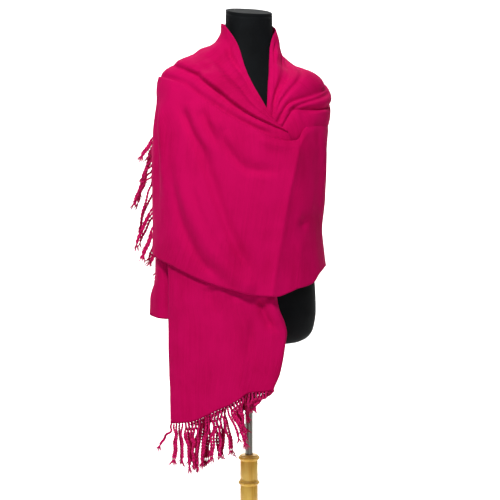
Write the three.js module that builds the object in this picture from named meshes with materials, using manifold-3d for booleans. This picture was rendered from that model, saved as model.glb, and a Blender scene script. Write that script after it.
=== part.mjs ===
// A fringed pashmina shawl worn on a headless, limbless dress form that stands on a turned wooden post.
// Millimetres, +Z up. The origin is on the floor under the post's axis, and the view from the front looks along +Y.
// Angles round the form are in degrees: 0 at the front (-Y), +90 at the right (+X), 180 at the back, -90 at the left.
// The shawl is one cloth. It is made here as the stretches that show, each a thin wall over the same rings:
// the cape over the back, the wrap across the front, the collar, the gather and the hanging end, with two fringes.
import * as THREE from 'three';
import Module from 'manifold-3d';
import { mergeVertices } from 'three/addons/utils/BufferGeometryUtils.js';

const wasm = await Module();
wasm.setup();

// Driving dimensions
const CLOTH = 1.8; // wall of the cloth, with its nap
const SEAM = 0.3; // gap between pieces that meet
const REST = 0.4; // gap between the form and the cloth where it rests on the slope beside the neck
const EASE_OFF = 4; // gap elsewhere
const REST_Z = 1360;
const FORM_TURN = 17; // the form faces a little to the right of the front
const SQUARENESS = 2.3; // exponent of the rings: 2 is an ellipse, more is squarer
const DEGREE = Math.PI / 180;
const MM_PER_DEGREE = 3.3; // cloth measured round the form at a mean radius of 189 mm

const FORM_BASE_Z = 732;
const NECK_TOP_Z = 1488;
const NECK_SLOPE = 0.23; // the neck's cut falls towards the front
const CAP_THICK = 7;
const POLE_RADIUS = 9;
const POST_TOP_Z = 468;
const POST_RADIUS = 20.5;
const RING_RADIUS = 25;
const RING_PITCH = 58;
const BASE_RADIUS = 170;
const BASE_THICK = 26;

const FRINGE_LENGTH = 100;
const FRONT_STRANDS = 62;
const SIDE_STRANDS = 37;
const STRAND_SIDES = 3;
const STRAND_RINGS = [
  { t: 0, radius: 0.3 },
  { t: 0.06, radius: 1.7 },
  { t: 0.5, radius: 1.7 },
  { t: 1, radius: 1.3 },
];
const STRIP_DEPTH = 5;
const STRIP_GAP = 0.5; // from the cloth's edge
const STRIP_MARGIN = 4; // from the strip's ends to the first and the last strand
const ROOT_DEPTH = 2; // how far a strand reaches into the strip
const SMALLEST_EDGE = 0.03;

const MAGENTA = 0xb8054a;

// A column of a table, read at any place along its key by a smooth curve that doesn't overshoot.
function read(table, key, at, column) {
  const last = table.length - 1;
  const direction = Math.sign(table[last][key] - table[0][key]);
  if ((at - table[0][key]) * direction <= 0) return table[0][column];
  if ((at - table[last][key]) * direction >= 0) return table[last][column];
  let i = 0;
  while ((at - table[i + 1][key]) * direction > 0) i += 1;
  const chord = (j) => (table[j + 1][column] - table[j][column]) / (table[j + 1][key] - table[j][key]);
  const slope = (j) => {
    if (j === 0) return chord(0);
    if (j === last) return chord(last - 1);
    const [before, after] = [chord(j - 1), chord(j)];
    return before * after <= 0 ? 0 : (2 * before * after) / (before + after);
  };
  const span = table[i + 1][key] - table[i][key];
  const t = (at - table[i][key]) / span;
  return (
    table[i][column] * (2 * t ** 3 - 3 * t ** 2 + 1) +
    slope(i) * span * (t ** 3 - 2 * t ** 2 + t) +
    table[i + 1][column] * (3 * t ** 2 - 2 * t ** 3) +
    slope(i + 1) * span * (t ** 3 - t ** 2)
  );
}

const mix = (a, b, t) => a + (b - a) * t;
const ease = (t) => {
  const c = Math.min(1, Math.max(0, t));
  return c * c * (3 - 2 * c);
};

// How far a rounded ring reaches from the post's axis in one direction.
function ringReach(table, around, z) {
  const [s, c] = [Math.sin(around * DEGREE), Math.cos(around * DEGREE)];
  const side = read(table, 'z', z, s < 0 ? 'left' : 'right');
  const depth = read(table, 'z', z, c > 0 ? 'front' : 'back');
  return (Math.abs(s / side) ** SQUARENESS + Math.abs(c / depth) ** SQUARENESS) ** (-1 / SQUARENESS);
}

const atReach = (reach, around, z) =>
  new THREE.Vector3(reach * Math.sin(around * DEGREE), -reach * Math.cos(around * DEGREE), z);

// A body of closed rings, with a flat or pointed lid on each end.
function lofted(rings) {
  const count = rings[0].length;
  const points = rings.flat();
  const faces = [];
  for (let r = 0; r < rings.length - 1; r += 1) {
    for (let i = 0; i < count; i += 1) {
      const [a, b] = [r * count + i, r * count + ((i + 1) % count)];
      faces.push(a, b, b + count, a, b + count, a + count);
    }
  }
  const lids = [
    { first: 0, turn: true },
    { first: (rings.length - 1) * count, turn: false },
  ];
  for (const { first, turn } of lids) {
    if (count === 3) {
      faces.push(first, turn ? first + 2 : first + 1, turn ? first + 1 : first + 2);
      continue;
    }
    const ring = points.slice(first, first + count);
    const middle = ring.reduce((sum, p) => sum.add(p), new THREE.Vector3()).divideScalar(count);
    points.push(middle);
    for (let i = 0; i < count; i += 1) {
      const [a, b] = [first + i, first + ((i + 1) % count)];
      faces.push(points.length - 1, turn ? b : a, turn ? a : b);
    }
  }
  return meshShape(points, faces);
}

function meshShape(points, faces) {
  const shape = new THREE.BufferGeometry();
  shape.setAttribute('position', new THREE.Float32BufferAttribute(points.flatMap((p) => [p.x, p.y, p.z]), 3));
  shape.setIndex(faces);
  return shape;
}

// The dress form: its rings, turned to face a little right
const FORM_RINGS = [
  { z: 732, left: 120, right: 120, front: 84, back: 92 },
  { z: 738, left: 133, right: 133, front: 93, back: 103 },
  { z: 746, left: 142, right: 142, front: 99, back: 111 },
  { z: 758, left: 149, right: 149, front: 105, back: 117 },
  { z: 775, left: 153, right: 153, front: 109, back: 122 },
  { z: 800, left: 156, right: 156, front: 112, back: 125 },
  { z: 860, left: 154, right: 154, front: 110, back: 121 },
  { z: 920, left: 138, right: 138, front: 103, back: 108 },
  { z: 980, left: 120, right: 120, front: 96, back: 97 },
  { z: 1020, left: 116, right: 116, front: 94, back: 93 },
  { z: 1080, left: 124, right: 124, front: 101, back: 96 },
  { z: 1140, left: 136, right: 136, front: 117, back: 102 },
  { z: 1190, left: 146, right: 146, front: 136, back: 107 },
  { z: 1230, left: 153, right: 153, front: 133, back: 110 },
  { z: 1270, left: 162, right: 162, front: 119, back: 110 },
  { z: 1300, left: 165, right: 165, front: 104, back: 106 },
  { z: 1322, left: 156, right: 156, front: 93, back: 99 },
  { z: 1338, left: 132, right: 132, front: 84, back: 91 },
  { z: 1354, left: 104, right: 104, front: 76, back: 82 },
  { z: 1370, left: 82, right: 82, front: 67, back: 73 },
  { z: 1388, left: 65, right: 65, front: 58, back: 64 },
  { z: 1408, left: 57, right: 57, front: 53, back: 57 },
  { z: 1435, left: 53, right: 53, front: 50, back: 53 },
  { z: 1490, left: 52, right: 52, front: 49, back: 51 },
];
const FORM_SIDES = 36;
const FORM_LEVELS = [
  732, 738, 746, 758, 775, 800, 835, 875, 920, 970, 1015, 1060, 1105, 1150, 1185, 1215, 1245, 1270, 1292, 1310,
  1324, 1336, 1348, 1360, 1372, 1386, 1402, 1422, 1450,
];

const formReach = (around, z) => ringReach(FORM_RINGS, around - FORM_TURN, z);

// Height of the neck's sloping cut above its middle, at a point of the neck.
const neckSlope = (p) => NECK_SLOPE * (p.y * Math.cos(FORM_TURN * DEGREE) - p.x * Math.sin(FORM_TURN * DEGREE));

function formRing(z, shrink = 0, slanted = false) {
  return Array.from({ length: FORM_SIDES }, (unused, i) => {
    const around = (360 * i) / FORM_SIDES;
    const p = atReach(formReach(around, Math.min(z, NECK_TOP_Z)) - shrink, around, z);
    if (slanted) p.z += neckSlope(p);
    return p;
  });
}

function dressForm() {
  const rings = FORM_LEVELS.map((z) => formRing(z));
  rings.push(formRing(NECK_TOP_Z - CAP_THICK - SEAM, 0, true));
  return lofted(rings);
}

function neckCap() {
  return lofted([
    formRing(NECK_TOP_Z - CAP_THICK, 0, true),
    formRing(NECK_TOP_Z - 2.5, 0, true),
    formRing(NECK_TOP_Z, 3, true),
  ]);
}

// Turned parts, from a profile of [radius, height] points that starts and ends on the axis
function turned(profile, sides) {
  const points = profile.map(([radius, z]) => new THREE.Vector2(radius, z));
  return new THREE.LatheGeometry(points, sides).rotateX(Math.PI / 2);
}

const pole = () =>
  turned(
    [
      [0, POST_TOP_Z + SEAM],
      [POLE_RADIUS, POST_TOP_Z + SEAM],
      [POLE_RADIUS, FORM_BASE_Z - SEAM],
      [0, FORM_BASE_Z - SEAM],
    ],
    24,
  );

function woodenPost() {
  const foot = BASE_THICK + SEAM;
  const profile = [
    [0, foot],
    [RING_RADIUS + 8, foot],
    [RING_RADIUS + 8, foot + 6],
    [POST_RADIUS, foot + 16],
  ];
  for (let z = POST_TOP_Z - 7 - 7 * RING_PITCH; z < POST_TOP_Z - 20; z += RING_PITCH) {
    profile.push([POST_RADIUS, z - 8], [RING_RADIUS, z - 3], [RING_RADIUS, z + 3], [POST_RADIUS, z + 8]);
  }
  profile.push([POST_RADIUS, POST_TOP_Z - 15], [RING_RADIUS, POST_TOP_Z - 10]);
  profile.push([RING_RADIUS, POST_TOP_Z - 4], [RING_RADIUS - 4, POST_TOP_Z], [0, POST_TOP_Z]);
  return turned(profile, 20);
}

const woodenBase = () =>
  turned(
    [
      [0, 0],
      [BASE_RADIUS - 4, 0],
      [BASE_RADIUS, 4],
      [BASE_RADIUS, 14],
      [BASE_RADIUS - 6, 20],
      [BASE_RADIUS - 40, BASE_THICK],
      [0, BASE_THICK],
    ],
    36,
  );

// The drape: rings that the inmost layer of cloth follows, never nearer the form than its gap
const DRAPE_RINGS = [
  { z: 1478, left: 54, right: 51, front: 50, back: 56 },
  { z: 1445, left: 59, right: 53, front: 51, back: 60 },
  { z: 1415, left: 76, right: 57, front: 54, back: 72 },
  { z: 1396, left: 108, right: 62, front: 59, back: 86 },
  { z: 1378, left: 133, right: 74, front: 68, back: 97 },
  { z: 1358, left: 180, right: 91, front: 79, back: 107 },
  { z: 1344, left: 195, right: 125, front: 88, back: 113 },
  { z: 1330, left: 199, right: 156, front: 97, back: 119 },
  { z: 1310, left: 201, right: 173, front: 109, back: 125 },
  { z: 1285, left: 203, right: 178, front: 123, back: 130 },
  { z: 1250, left: 207, right: 177, front: 138, back: 134 },
  { z: 1200, left: 211, right: 175.5, front: 149, back: 137 },
  { z: 1130, left: 212, right: 172, front: 154, back: 138 },
  { z: 1060, left: 212, right: 170, front: 155, back: 137 },
  { z: 990, left: 211, right: 163, front: 154, back: 137 },
  { z: 930, left: 213, right: 169, front: 153, back: 139 },
  { z: 880, left: 214, right: 176, front: 151, back: 142 },
  { z: 790, left: 216, right: 180, front: 148, back: 148 },
];
const DRAPE_BLEND = 6;

function drapeReach(around, z) {
  const gap = mix(REST, EASE_OFF, ease((Math.abs(z - REST_Z) - 6) / 18));
  const onForm = formReach(around, Math.max(z, FORM_BASE_Z + 20)) + gap;
  const free = ringReach(DRAPE_RINGS, around, z);
  const near = Math.max(0, DRAPE_BLEND - Math.abs(onForm - free)) / DRAPE_BLEND;
  return Math.max(onForm, free) + (near * near * DRAPE_BLEND) / 4;
}

const drapePoint = (around, z) => atReach(drapeReach(around, z), around, z);

// A point lifted square off the drape.
function lifted(around, z, lift) {
  const step = 2;
  const across = drapePoint(around + step, z).sub(drapePoint(around - step, z));
  const up = drapePoint(around, z + step).sub(drapePoint(around, z - step));
  return drapePoint(around, z).addScaledVector(across.cross(up).normalize(), lift);
}

// Folds: each follows a curve on the unrolled cloth, from one place past a bend to another.
// rise is its height, a trough below 0; width is the distance at which it has mostly died away.
function foldRise(folds, around, z) {
  let rise = 0;
  for (const fold of folds) {
    let nearest = Infinity;
    let before = null;
    for (let i = 0; i <= 14; i += 1) {
      const t = i / 14;
      const [a, b, c] = [(1 - t) ** 2, 2 * t * (1 - t), t ** 2];
      const place = new THREE.Vector2(
        (a * fold.from[0] + b * fold.bend[0] + c * fold.to[0] - around) * MM_PER_DEGREE,
        a * fold.from[1] + b * fold.bend[1] + c * fold.to[1] - z,
      );
      if (before) {
        const chord = place.clone().sub(before);
        const share = Math.min(1, Math.max(0, -before.dot(chord) / chord.lengthSq()));
        nearest = Math.min(nearest, before.clone().addScaledVector(chord, share).length());
      }
      before = place;
    }
    const distance = nearest / fold.width;
    rise += fold.rise * Math.exp(fold.sharp ? -2 * distance : -(distance ** 2));
  }
  return rise;
}

// A wall of cloth behind a grid of points on its outer face. Columns run round the form, to the right.
function wall(grid, thick = CLOTH) {
  const [columns, rows] = [grid.length, grid[0].length];
  const at = (i, j) => grid[Math.min(columns - 1, Math.max(0, i))][Math.min(rows - 1, Math.max(0, j))];
  const outer = [];
  const inner = [];
  for (let i = 0; i < columns; i += 1) {
    for (let j = 0; j < rows; j += 1) {
      const across = at(i + 1, j).clone().sub(at(i - 1, j));
      const down = at(i, j + 1).clone().sub(at(i, j - 1));
      const inward = at(i, j).inward ?? across.cross(down).normalize();
      outer.push(at(i, j));
      inner.push(at(i, j).clone().addScaledVector(inward, thick));
    }
  }
  const back = columns * rows;
  const faces = [];
  const quad = (a, b, c, d) => faces.push(a, b, c, a, c, d);
  for (let i = 0; i < columns - 1; i += 1) {
    for (let j = 0; j < rows - 1; j += 1) {
      const [a, b, c, d] = [i * rows + j, i * rows + j + 1, (i + 1) * rows + j + 1, (i + 1) * rows + j];
      quad(a, b, c, d);
      quad(back + a, back + d, back + c, back + b);
    }
  }
  for (let i = 0; i < columns - 1; i += 1) {
    const [top, nextTop] = [i * rows, (i + 1) * rows];
    const [low, nextLow] = [top + rows - 1, nextTop + rows - 1];
    quad(top, nextTop, back + nextTop, back + top);
    quad(nextLow, low, back + low, back + nextLow);
  }
  for (let j = 0; j < rows - 1; j += 1) {
    const end = (columns - 1) * rows + j;
    quad(j + 1, j, back + j, back + j + 1);
    quad(end, end + 1, back + end + 1, back + end);
  }
  return meshShape([...outer, ...inner], faces);
}

const grid = (columns, rows, place) =>
  Array.from({ length: columns + 1 }, (unused, i) =>
    Array.from({ length: rows + 1 }, (alsoUnused, j) => place(i / columns, j / rows)),
  );

// The shoulder seams: where the cape over the back meets the collar and the gather, knot by knot
const LEFT_SEAM = [
  { z: 1462, around: -130 },
  { z: 1437, around: -121 },
  { z: 1410, around: -112 },
  { z: 1384, around: -105 },
  { z: 1360, around: -100 },
  { z: 1340, around: -96 },
  { z: 1320, around: -94 },
];
const RIGHT_SEAM = [
  { z: 1462, around: 130 },
  { z: 1437, around: 123 },
  { z: 1410, around: 117.5 },
  { z: 1384, around: 113.5 },
  { z: 1360, around: 111 },
  { z: 1340, around: 109.5 },
  { z: 1320, around: 109 },
  { z: 1280, around: 109 },
  { z: 1232, around: 109 },
];
const WRAP_SEAM = 109; // where the wrap leaves the cape, behind the right arm
const SEAM_END_Z = 1232;
const NAPE_Z = 1466;

const inwardAt = (around, z) => lifted(around, z, -1).sub(drapePoint(around, z)).normalize();

// A point of the outer face on a seam. It keeps its inward direction, so both walls end in the same plane.
function seamPoint(around, z, aside) {
  const turn = (aside * SEAM) / 2 / (drapeReach(around, z) * DEGREE);
  return Object.assign(lifted(around + turn, z, CLOTH), { inward: inwardAt(around, z) });
}

// A point on a shoulder seam, straight between the knots: t goes from the neck to the seam's end.
function shoulderSeam(seam, t, aside) {
  const place = Math.min(seam.length - 1, t * (seam.length - 1));
  const i = Math.min(seam.length - 2, Math.floor(place));
  const [a, b] = [seam[i], seam[i + 1]].map((knot) => seamPoint(knot.around, knot.z, aside));
  const inward = a.inward.clone().lerp(b.inward, place - i).normalize();
  return Object.assign(a.clone().lerp(b, place - i), { inward });
}

// The cape over the back, from behind the right arm to its turned-in margin under the wrap at the left
const CAPE_COLUMNS = 28;
const CAPE_LOW_ROWS = 9; // rows below the right shoulder seam
const CAPE_HEM = [
  { around: 109, z: 902 },
  { around: 130, z: 893 },
  { around: 155, z: 868 },
  { around: 180, z: 842 },
  { around: 205, z: 822 },
  { around: 230, z: 808 },
  { around: 264, z: 800 },
  { around: 297, z: 789 },
];
const CAPE_LEFT_EDGE = [
  { z: 1320, around: 266 },
  { z: 1280, around: 272 },
  { z: 1232, around: 278 },
  { z: 1100, around: 283 },
  { z: 950, around: 290 },
  { z: 880, around: 296 },
  { z: 789, around: 297 },
];
const CAPE_EDGE = 297;
const MARGIN_START = 287; // the margin turns in from here
const MARGIN_DEPTH = 26;
const CAPE_FOLDS = [
  { from: [146, 1330], bend: [134, 1150], to: [130, 890], width: 24, rise: 7 },
  { from: [152, 1300], bend: [146, 1120], to: [144, 880], width: 22, rise: -6 },
  { from: [166, 1350], bend: [160, 1130], to: [157, 865], width: 24, rise: 8 },
  { from: [174, 1290], bend: [172, 1100], to: [171, 850], width: 22, rise: -7 },
  { from: [186, 1350], bend: [187, 1120], to: [186, 840], width: 24, rise: 8 },
  { from: [196, 1290], bend: [200, 1090], to: [201, 825], width: 22, rise: -6 },
  { from: [204, 1330], bend: [212, 1110], to: [215, 815], width: 24, rise: 8 },
  { from: [226, 1180], bend: [229, 1020], to: [231, 808], width: 20, rise: -6 },
  { from: [246, 858], bend: [247, 840], to: [248, 802], width: 24, rise: 7 },
  { from: [274, 862], bend: [275, 830], to: [275, 795], width: 34, rise: 11 },
  { from: [262, 900], bend: [262, 850], to: [262, 798], width: 18, rise: -6 },
];

function cape() {
  const seamRows = RIGHT_SEAM.length - 1;
  const rows = seamRows + CAPE_LOW_ROWS;
  const hemAt = (around) => read(CAPE_HEM, 'around', around, 'z');
  const edgeHeight = (j, hem) =>
    j <= seamRows ? RIGHT_SEAM[j].z : mix(SEAM_END_Z, hem, (j - seamRows) / CAPE_LOW_ROWS);
  return grid(CAPE_COLUMNS, rows, (u, v) => {
    const j = Math.round(v * rows);
    const rightZ = edgeHeight(j, CAPE_HEM[0].z);
    const right = j <= seamRows ? RIGHT_SEAM[j].around : WRAP_SEAM;
    if (u === 0) return seamPoint(right, rightZ, 1);
    const leftZ = edgeHeight(j, CAPE_HEM[CAPE_HEM.length - 1].z);
    const onLeftSeam = j < LEFT_SEAM.length;
    const left = onLeftSeam ? 360 + LEFT_SEAM[j].around : read(CAPE_LEFT_EDGE, 'z', leftZ, 'around');
    if (u === 1 && onLeftSeam) return seamPoint(left, leftZ, -1);
    const around = mix(right, left, u);
    const nape = (NAPE_Z - LEFT_SEAM[0].z) * Math.sin(Math.PI * u) * (j === 0 ? 1 : 0);
    const z = edgeHeight(j, hemAt(around)) + nape;
    const margin = ease((around - MARGIN_START) / (CAPE_EDGE - MARGIN_START)) * ease((960 - z) / 70);
    const fade = ease(u / 0.12) * ease(j / 6) * (onLeftSeam ? ease((1 - u) / 0.15) : 1);
    return lifted(around, z, CLOTH + fade * foldRise(CAPE_FOLDS, around, z) - margin * MARGIN_DEPTH);
  });
}

// The wrap across the front, from the fringed end behind the left arm to its seam behind the right arm.
// lift is the height of its inner face over the drape.
const WRAP_COLUMNS = 36;
const WRAP_ROWS = 19;
const WRAP_RIBS = [
  { around: -150, top: 1326, hem: 948, lift: 9 },
  { around: -118, top: 1331, hem: 945, lift: 7 },
  { around: -86, top: 1336, hem: 938, lift: 8 },
  { around: -60, top: 1313, hem: 918, lift: 9 },
  { around: -36, top: 1274, hem: 885, lift: 9 },
  { around: -12, top: 1236, hem: 863, lift: 10 },
  { around: 8, top: 1210, hem: 852, lift: 12 },
  { around: 22, top: 1195, hem: 851, lift: 14 },
  { around: 32, top: 1190, hem: 860, lift: 14 },
  { around: 38, top: 1193, hem: 867, lift: 14 },
  { around: 44, top: 1215, hem: 870, lift: 12 },
  { around: 52, top: 1228, hem: 877, lift: 9.5 },
  { around: 60, top: 1232, hem: 896, lift: 7.5 },
  { around: 75, top: 1234, hem: 908, lift: 5 },
  { around: 92, top: 1232, hem: 908, lift: 2 },
  { around: 109, top: 1231.5, hem: 902, lift: 0 },
];
const WRAP_END = [
  { z: 1326, around: -150 },
  { z: 1280, around: -128 },
  { z: 1227, around: -105 },
  { z: 1100, around: -102 },
  { z: 1010, around: -104 },
  { z: 948, around: -112 },
];
const CREASE_SHARE = 0.61; // the column that lies on the pressed crease
const CREASE_REACH = { top: 1190, hem: 855 };
const CREASE = [
  { z: 1190, around: 38 },
  { z: 1155, around: 35 },
  { z: 1031, around: 26 },
  { z: 955, around: 22 },
  { z: 855, around: 18 },
];
const WRAP_FOLDS = [
  { from: [38, 1190], bend: [25, 1035], to: [18, 852], width: 34, rise: 6, sharp: true },
  { from: [-66, 1290], bend: [-64, 1040], to: [0, 878], width: 26, rise: 6 },
  { from: [-66, 1308], bend: [-26, 1120], to: [6, 887], width: 15, rise: -7 },
  { from: [-52, 1274], bend: [-36, 1200], to: [-21, 1140], width: 15, rise: 4 },
  { from: [-40, 1256], bend: [-30, 1215], to: [-21, 1162], width: 11, rise: -3 },
  { from: [-34, 1249], bend: [-15, 1190], to: [5, 1118], width: 17, rise: 5 },
  { from: [-12, 1216], bend: [18, 1150], to: [30, 1155], width: 12, rise: -4 },
  { from: [-49, 995], bend: [-38, 950], to: [-30, 879], width: 14, rise: -4 },
  { from: [43, 999], bend: [50, 1036], to: [63, 1049], width: 16, rise: -3 },
  { from: [-78, 1325], bend: [-80, 1180], to: [-76, 1024], width: 24, rise: 5 },
  { from: [-104, 1205], bend: [-107, 1150], to: [-105, 1075], width: 28, rise: 13 },
];

function wrap() {
  return grid(WRAP_COLUMNS, WRAP_ROWS, (u, v) => {
    if (u === 1) return seamPoint(WRAP_SEAM, mix(WRAP_RIBS.at(-1).top, WRAP_RIBS.at(-1).hem, v), -1);
    const end = read(WRAP_END, 'z', mix(WRAP_RIBS[0].top, WRAP_RIBS[0].hem, v), 'around');
    const crease = read(CREASE, 'z', mix(CREASE_REACH.top, CREASE_REACH.hem, v), 'around');
    const around =
      u < CREASE_SHARE
        ? mix(end, crease, u / CREASE_SHARE)
        : mix(crease, WRAP_SEAM, (u - CREASE_SHARE) / (1 - CREASE_SHARE));
    const rib = (column) => read(WRAP_RIBS, 'around', around, column);
    const z = mix(rib('top'), rib('hem'), v);
    const fade = ease((WRAP_SEAM - around) / 25);
    return lifted(around, z, CLOTH + rib('lift') + fade * foldRise(WRAP_FOLDS, around, z));
  });
}

// The collar and the gather are fans of folds. Each line is a ridge or a trough that runs through its stations
// [around, z], and the lifts give its height over the drape at each of them.
const COLLAR_LINES = [
  { shoulder: [-70, 1457], quarter: [-27, 1415], middle: [-4, 1344], near: [10, 1289], end: [21, 1234] },
  { shoulder: [-79, 1428], quarter: [-36, 1383], middle: [-12, 1339], near: [7, 1282], end: [24, 1227] },
  { shoulder: [-76, 1400], quarter: [-46, 1358], middle: [-20, 1311], near: [1, 1262], end: [26, 1220] },
  { shoulder: [-78, 1361], quarter: [-53, 1342], middle: [-28, 1306], near: [-5, 1262], end: [28, 1214] },
  { shoulder: [-86, 1350], quarter: [-59, 1337], middle: [-33, 1299], near: [-8, 1251], end: [33, 1206] },
  { shoulder: [-87, 1341], quarter: [-58, 1318], middle: [-36, 1284], near: [-10, 1241], end: [34, 1198] },
  { shoulder: [-86, 1306], quarter: [-60, 1283], middle: [-37, 1243], near: [-10, 1205], end: [34, 1180] },
];
const COLLAR_LIFTS = [
  { shoulder: 4, quarter: 6, middle: 6, near: 8, end: 9 },
  { shoulder: 2, quarter: 1, middle: 1, near: 5, end: 8 },
  { shoulder: 4, quarter: 6, middle: 7, near: 8, end: 10 },
  { shoulder: 8, quarter: 15, middle: 16, near: 15, end: 13 },
  { shoulder: 2, quarter: 1, middle: 1, near: 4, end: 8 },
  { shoulder: 2, quarter: 4, middle: 5, near: 6, end: 8.5 },
  { shoulder: 2, quarter: 2, middle: 2, near: 4, end: 7 },
];
const COLLAR_STATIONS = { seam: 0, shoulder: 0.2, quarter: 0.4, middle: 0.6, near: 0.8, end: 1 };
const COLLAR_COLUMNS = 18;
const ROWS_PER_COLLAR_FOLD = 3;

const GATHER_LINES = [
  { end: [15, 1247], near: [21, 1312], middle: [38, 1382], shoulder: [66, 1434], rise: 2 },
  { end: [16, 1240], near: [25, 1307], middle: [42, 1368], shoulder: [74, 1419], rise: 6 },
  { end: [18, 1234], near: [29, 1292], middle: [43, 1337], shoulder: [78, 1391], rise: 1 },
  { end: [19, 1229], near: [30, 1281], middle: [43, 1322], shoulder: [79, 1374], rise: 7 },
  { end: [21, 1225], near: [34, 1276], middle: [48, 1315], shoulder: [84, 1364], rise: 1 },
  { end: [22, 1221], near: [37, 1271], middle: [50, 1303], shoulder: [86, 1353], rise: 7 },
  { end: [24, 1217], near: [41, 1266], middle: [57, 1297], shoulder: [85, 1341], rise: 1 },
  { end: [25, 1213], near: [44, 1263], middle: [61, 1290], shoulder: [86, 1329], rise: 7 },
  { end: [26, 1209], near: [48, 1262], middle: [66, 1282], shoulder: [88, 1306], rise: 1 },
  { end: [27, 1205], near: [50, 1258], middle: [66, 1272], shoulder: [89, 1283], rise: 6 },
  { end: [28, 1200], near: [50, 1248], middle: [66, 1261], shoulder: [89, 1266], rise: 1 },
  { end: [29, 1194], near: [50, 1238], middle: [66, 1250], shoulder: [89, 1252], rise: 3 },
  { end: [30, 1186], near: [46, 1177], middle: [61, 1212], shoulder: [86, 1237], rise: 0 },
];
const GATHER_STATIONS = { end: 0, near: 0.22, middle: 0.42, shoulder: 0.74, seam: 1 };
const GATHER_SHARES = { end: 0.3, near: 0.8, middle: 1, shoulder: 0.8 };
const GATHER_BASE_LIFT = 0.3;
const GATHER_COLUMNS = 13;
const ROWS_PER_GATHER_FOLD = 2;

function fan({ lines, liftAt, stations, columns, rowsPerFold, seam, seamSide, aside }) {
  const folds = lines.length - 1;
  const names = Object.keys(stations);
  const follow = (line, knot) =>
    names.map((name) => {
      const [around, z] = name === 'seam' ? [knot.around, knot.z] : lines[line][name];
      return { at: stations[name], around, z, lift: name === 'seam' ? 0 : liftAt(line, name) };
    });
  return grid(columns, folds * rowsPerFold, (u, v) => {
    if (u === seamSide) return shoulderSeam(seam, v, aside);
    const line = Math.min(folds - 1, Math.floor(v * folds + 1e-9));
    const share = v * folds - line;
    const knotAt = (t) => {
      const place = Math.min(seam.length - 1 - 1e-9, t * (seam.length - 1));
      const i = Math.floor(place);
      return {
        around: mix(seam[i].around, seam[i + 1].around, place - i),
        z: mix(seam[i].z, seam[i + 1].z, place - i),
      };
    };
    const [one, other] = [line, line + 1].map((k) => {
      const table = follow(k, knotAt(k / folds));
      return ['around', 'z', 'lift'].map((column) => read(table, 'at', u, column));
    });
    const lift = mix(one[2], other[2], ease(share));
    return lifted(mix(one[0], other[0], share), mix(one[1], other[1], share), CLOTH + lift);
  });
}

const collar = () =>
  fan({
    lines: COLLAR_LINES,
    liftAt: (line, name) => COLLAR_LIFTS[line][name],
    stations: COLLAR_STATIONS,
    columns: COLLAR_COLUMNS,
    rowsPerFold: ROWS_PER_COLLAR_FOLD,
    seam: LEFT_SEAM,
    seamSide: 0,
    aside: 1,
  });

const gather = () =>
  fan({
    lines: GATHER_LINES,
    liftAt: (line, name) => GATHER_BASE_LIFT + GATHER_LINES[line].rise * GATHER_SHARES[name],
    stations: GATHER_STATIONS,
    columns: GATHER_COLUMNS,
    rowsPerFold: ROWS_PER_GATHER_FOLD,
    seam: RIGHT_SEAM,
    seamSide: 1,
    aside: -1,
  });

// The hanging end: the collar's cloth goes on down the front, folded in half along a rounded edge at the right
const HANGING_TOP = [
  { around: -86, z: 1306, lift: 2 },
  { around: -60, z: 1283, lift: 2 },
  { around: -37, z: 1243, lift: 2 },
  { around: -10, z: 1205, lift: 4 },
  { around: 34, z: 1180, lift: 7 },
];
const HANGING_SIDES = [
  { z: 1290, left: -65, right: 30 },
  { z: 1180, left: -65, right: 30 },
  { z: 1000, left: -65, right: 24 },
  { z: 900, left: -62, right: 21 },
  { z: 860, left: -61.5, right: 20 },
  { z: 823, left: -61.5, right: 22 },
  { z: 791, left: -61.5, right: 27 },
  { z: 766, left: -61.5, right: 29 },
  { z: 746, left: -61.5, right: 28 },
  { z: 710, left: -61.5, right: 26 },
  { z: 674, left: -61, right: 23 },
  { z: 637, left: -60, right: 18 },
  { z: 560, left: -59.5, right: 18 },
];
const HANGING_HEM = [
  { around: -65, z: 560 },
  { around: -48, z: 568 },
  { around: -37, z: 581 },
  { around: -27, z: 595 },
  { around: -15, z: 608 },
  { around: -5, z: 623 },
  { around: 3, z: 635 },
  { around: 24, z: 640 },
];
const HANGING_FOLDS = [
  { from: [-50, 900], bend: [-50, 750], to: [-52, 580], width: 30, rise: 6 },
  { from: [-33, 840], bend: [-28, 780], to: [-22, 700], width: 17, rise: -6 },
  { from: [8, 840], bend: [13, 800], to: [21, 745], width: 11, rise: -9 },
  { from: [17, 850], bend: [21, 810], to: [29, 770], width: 10, rise: 5 },
  { from: [-6, 760], bend: [-5, 700], to: [-8, 640], width: 16, rise: 3 },
];
const HANGING_LIFT = 2.5; // inner face over the drape at the wrap's hem and below
const HANGING_GAP = 0.7; // measured straight down from the collar's sloping hidden edge
const HANGING_LEFT = -65;
const HANGING_RIGHT = 24; // the folded edge at the hem
const HANGING_TOP_RIGHT = 30; // and under the collar
const HANGING_BACK_TOP = 880;
const HANGING_BACK_LEFT = -54;
const WRAP_FOLDS_END = 830; // the wrap's folds press through down to here
const OWN_FOLDS_START = 900;
const FOLD_RADIUS = 11;
const HANGING_COLUMNS = 28;
const HANGING_ROWS = 14;
const FOLD_START = 0.52;
const FOLD_END = 0.68;

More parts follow.
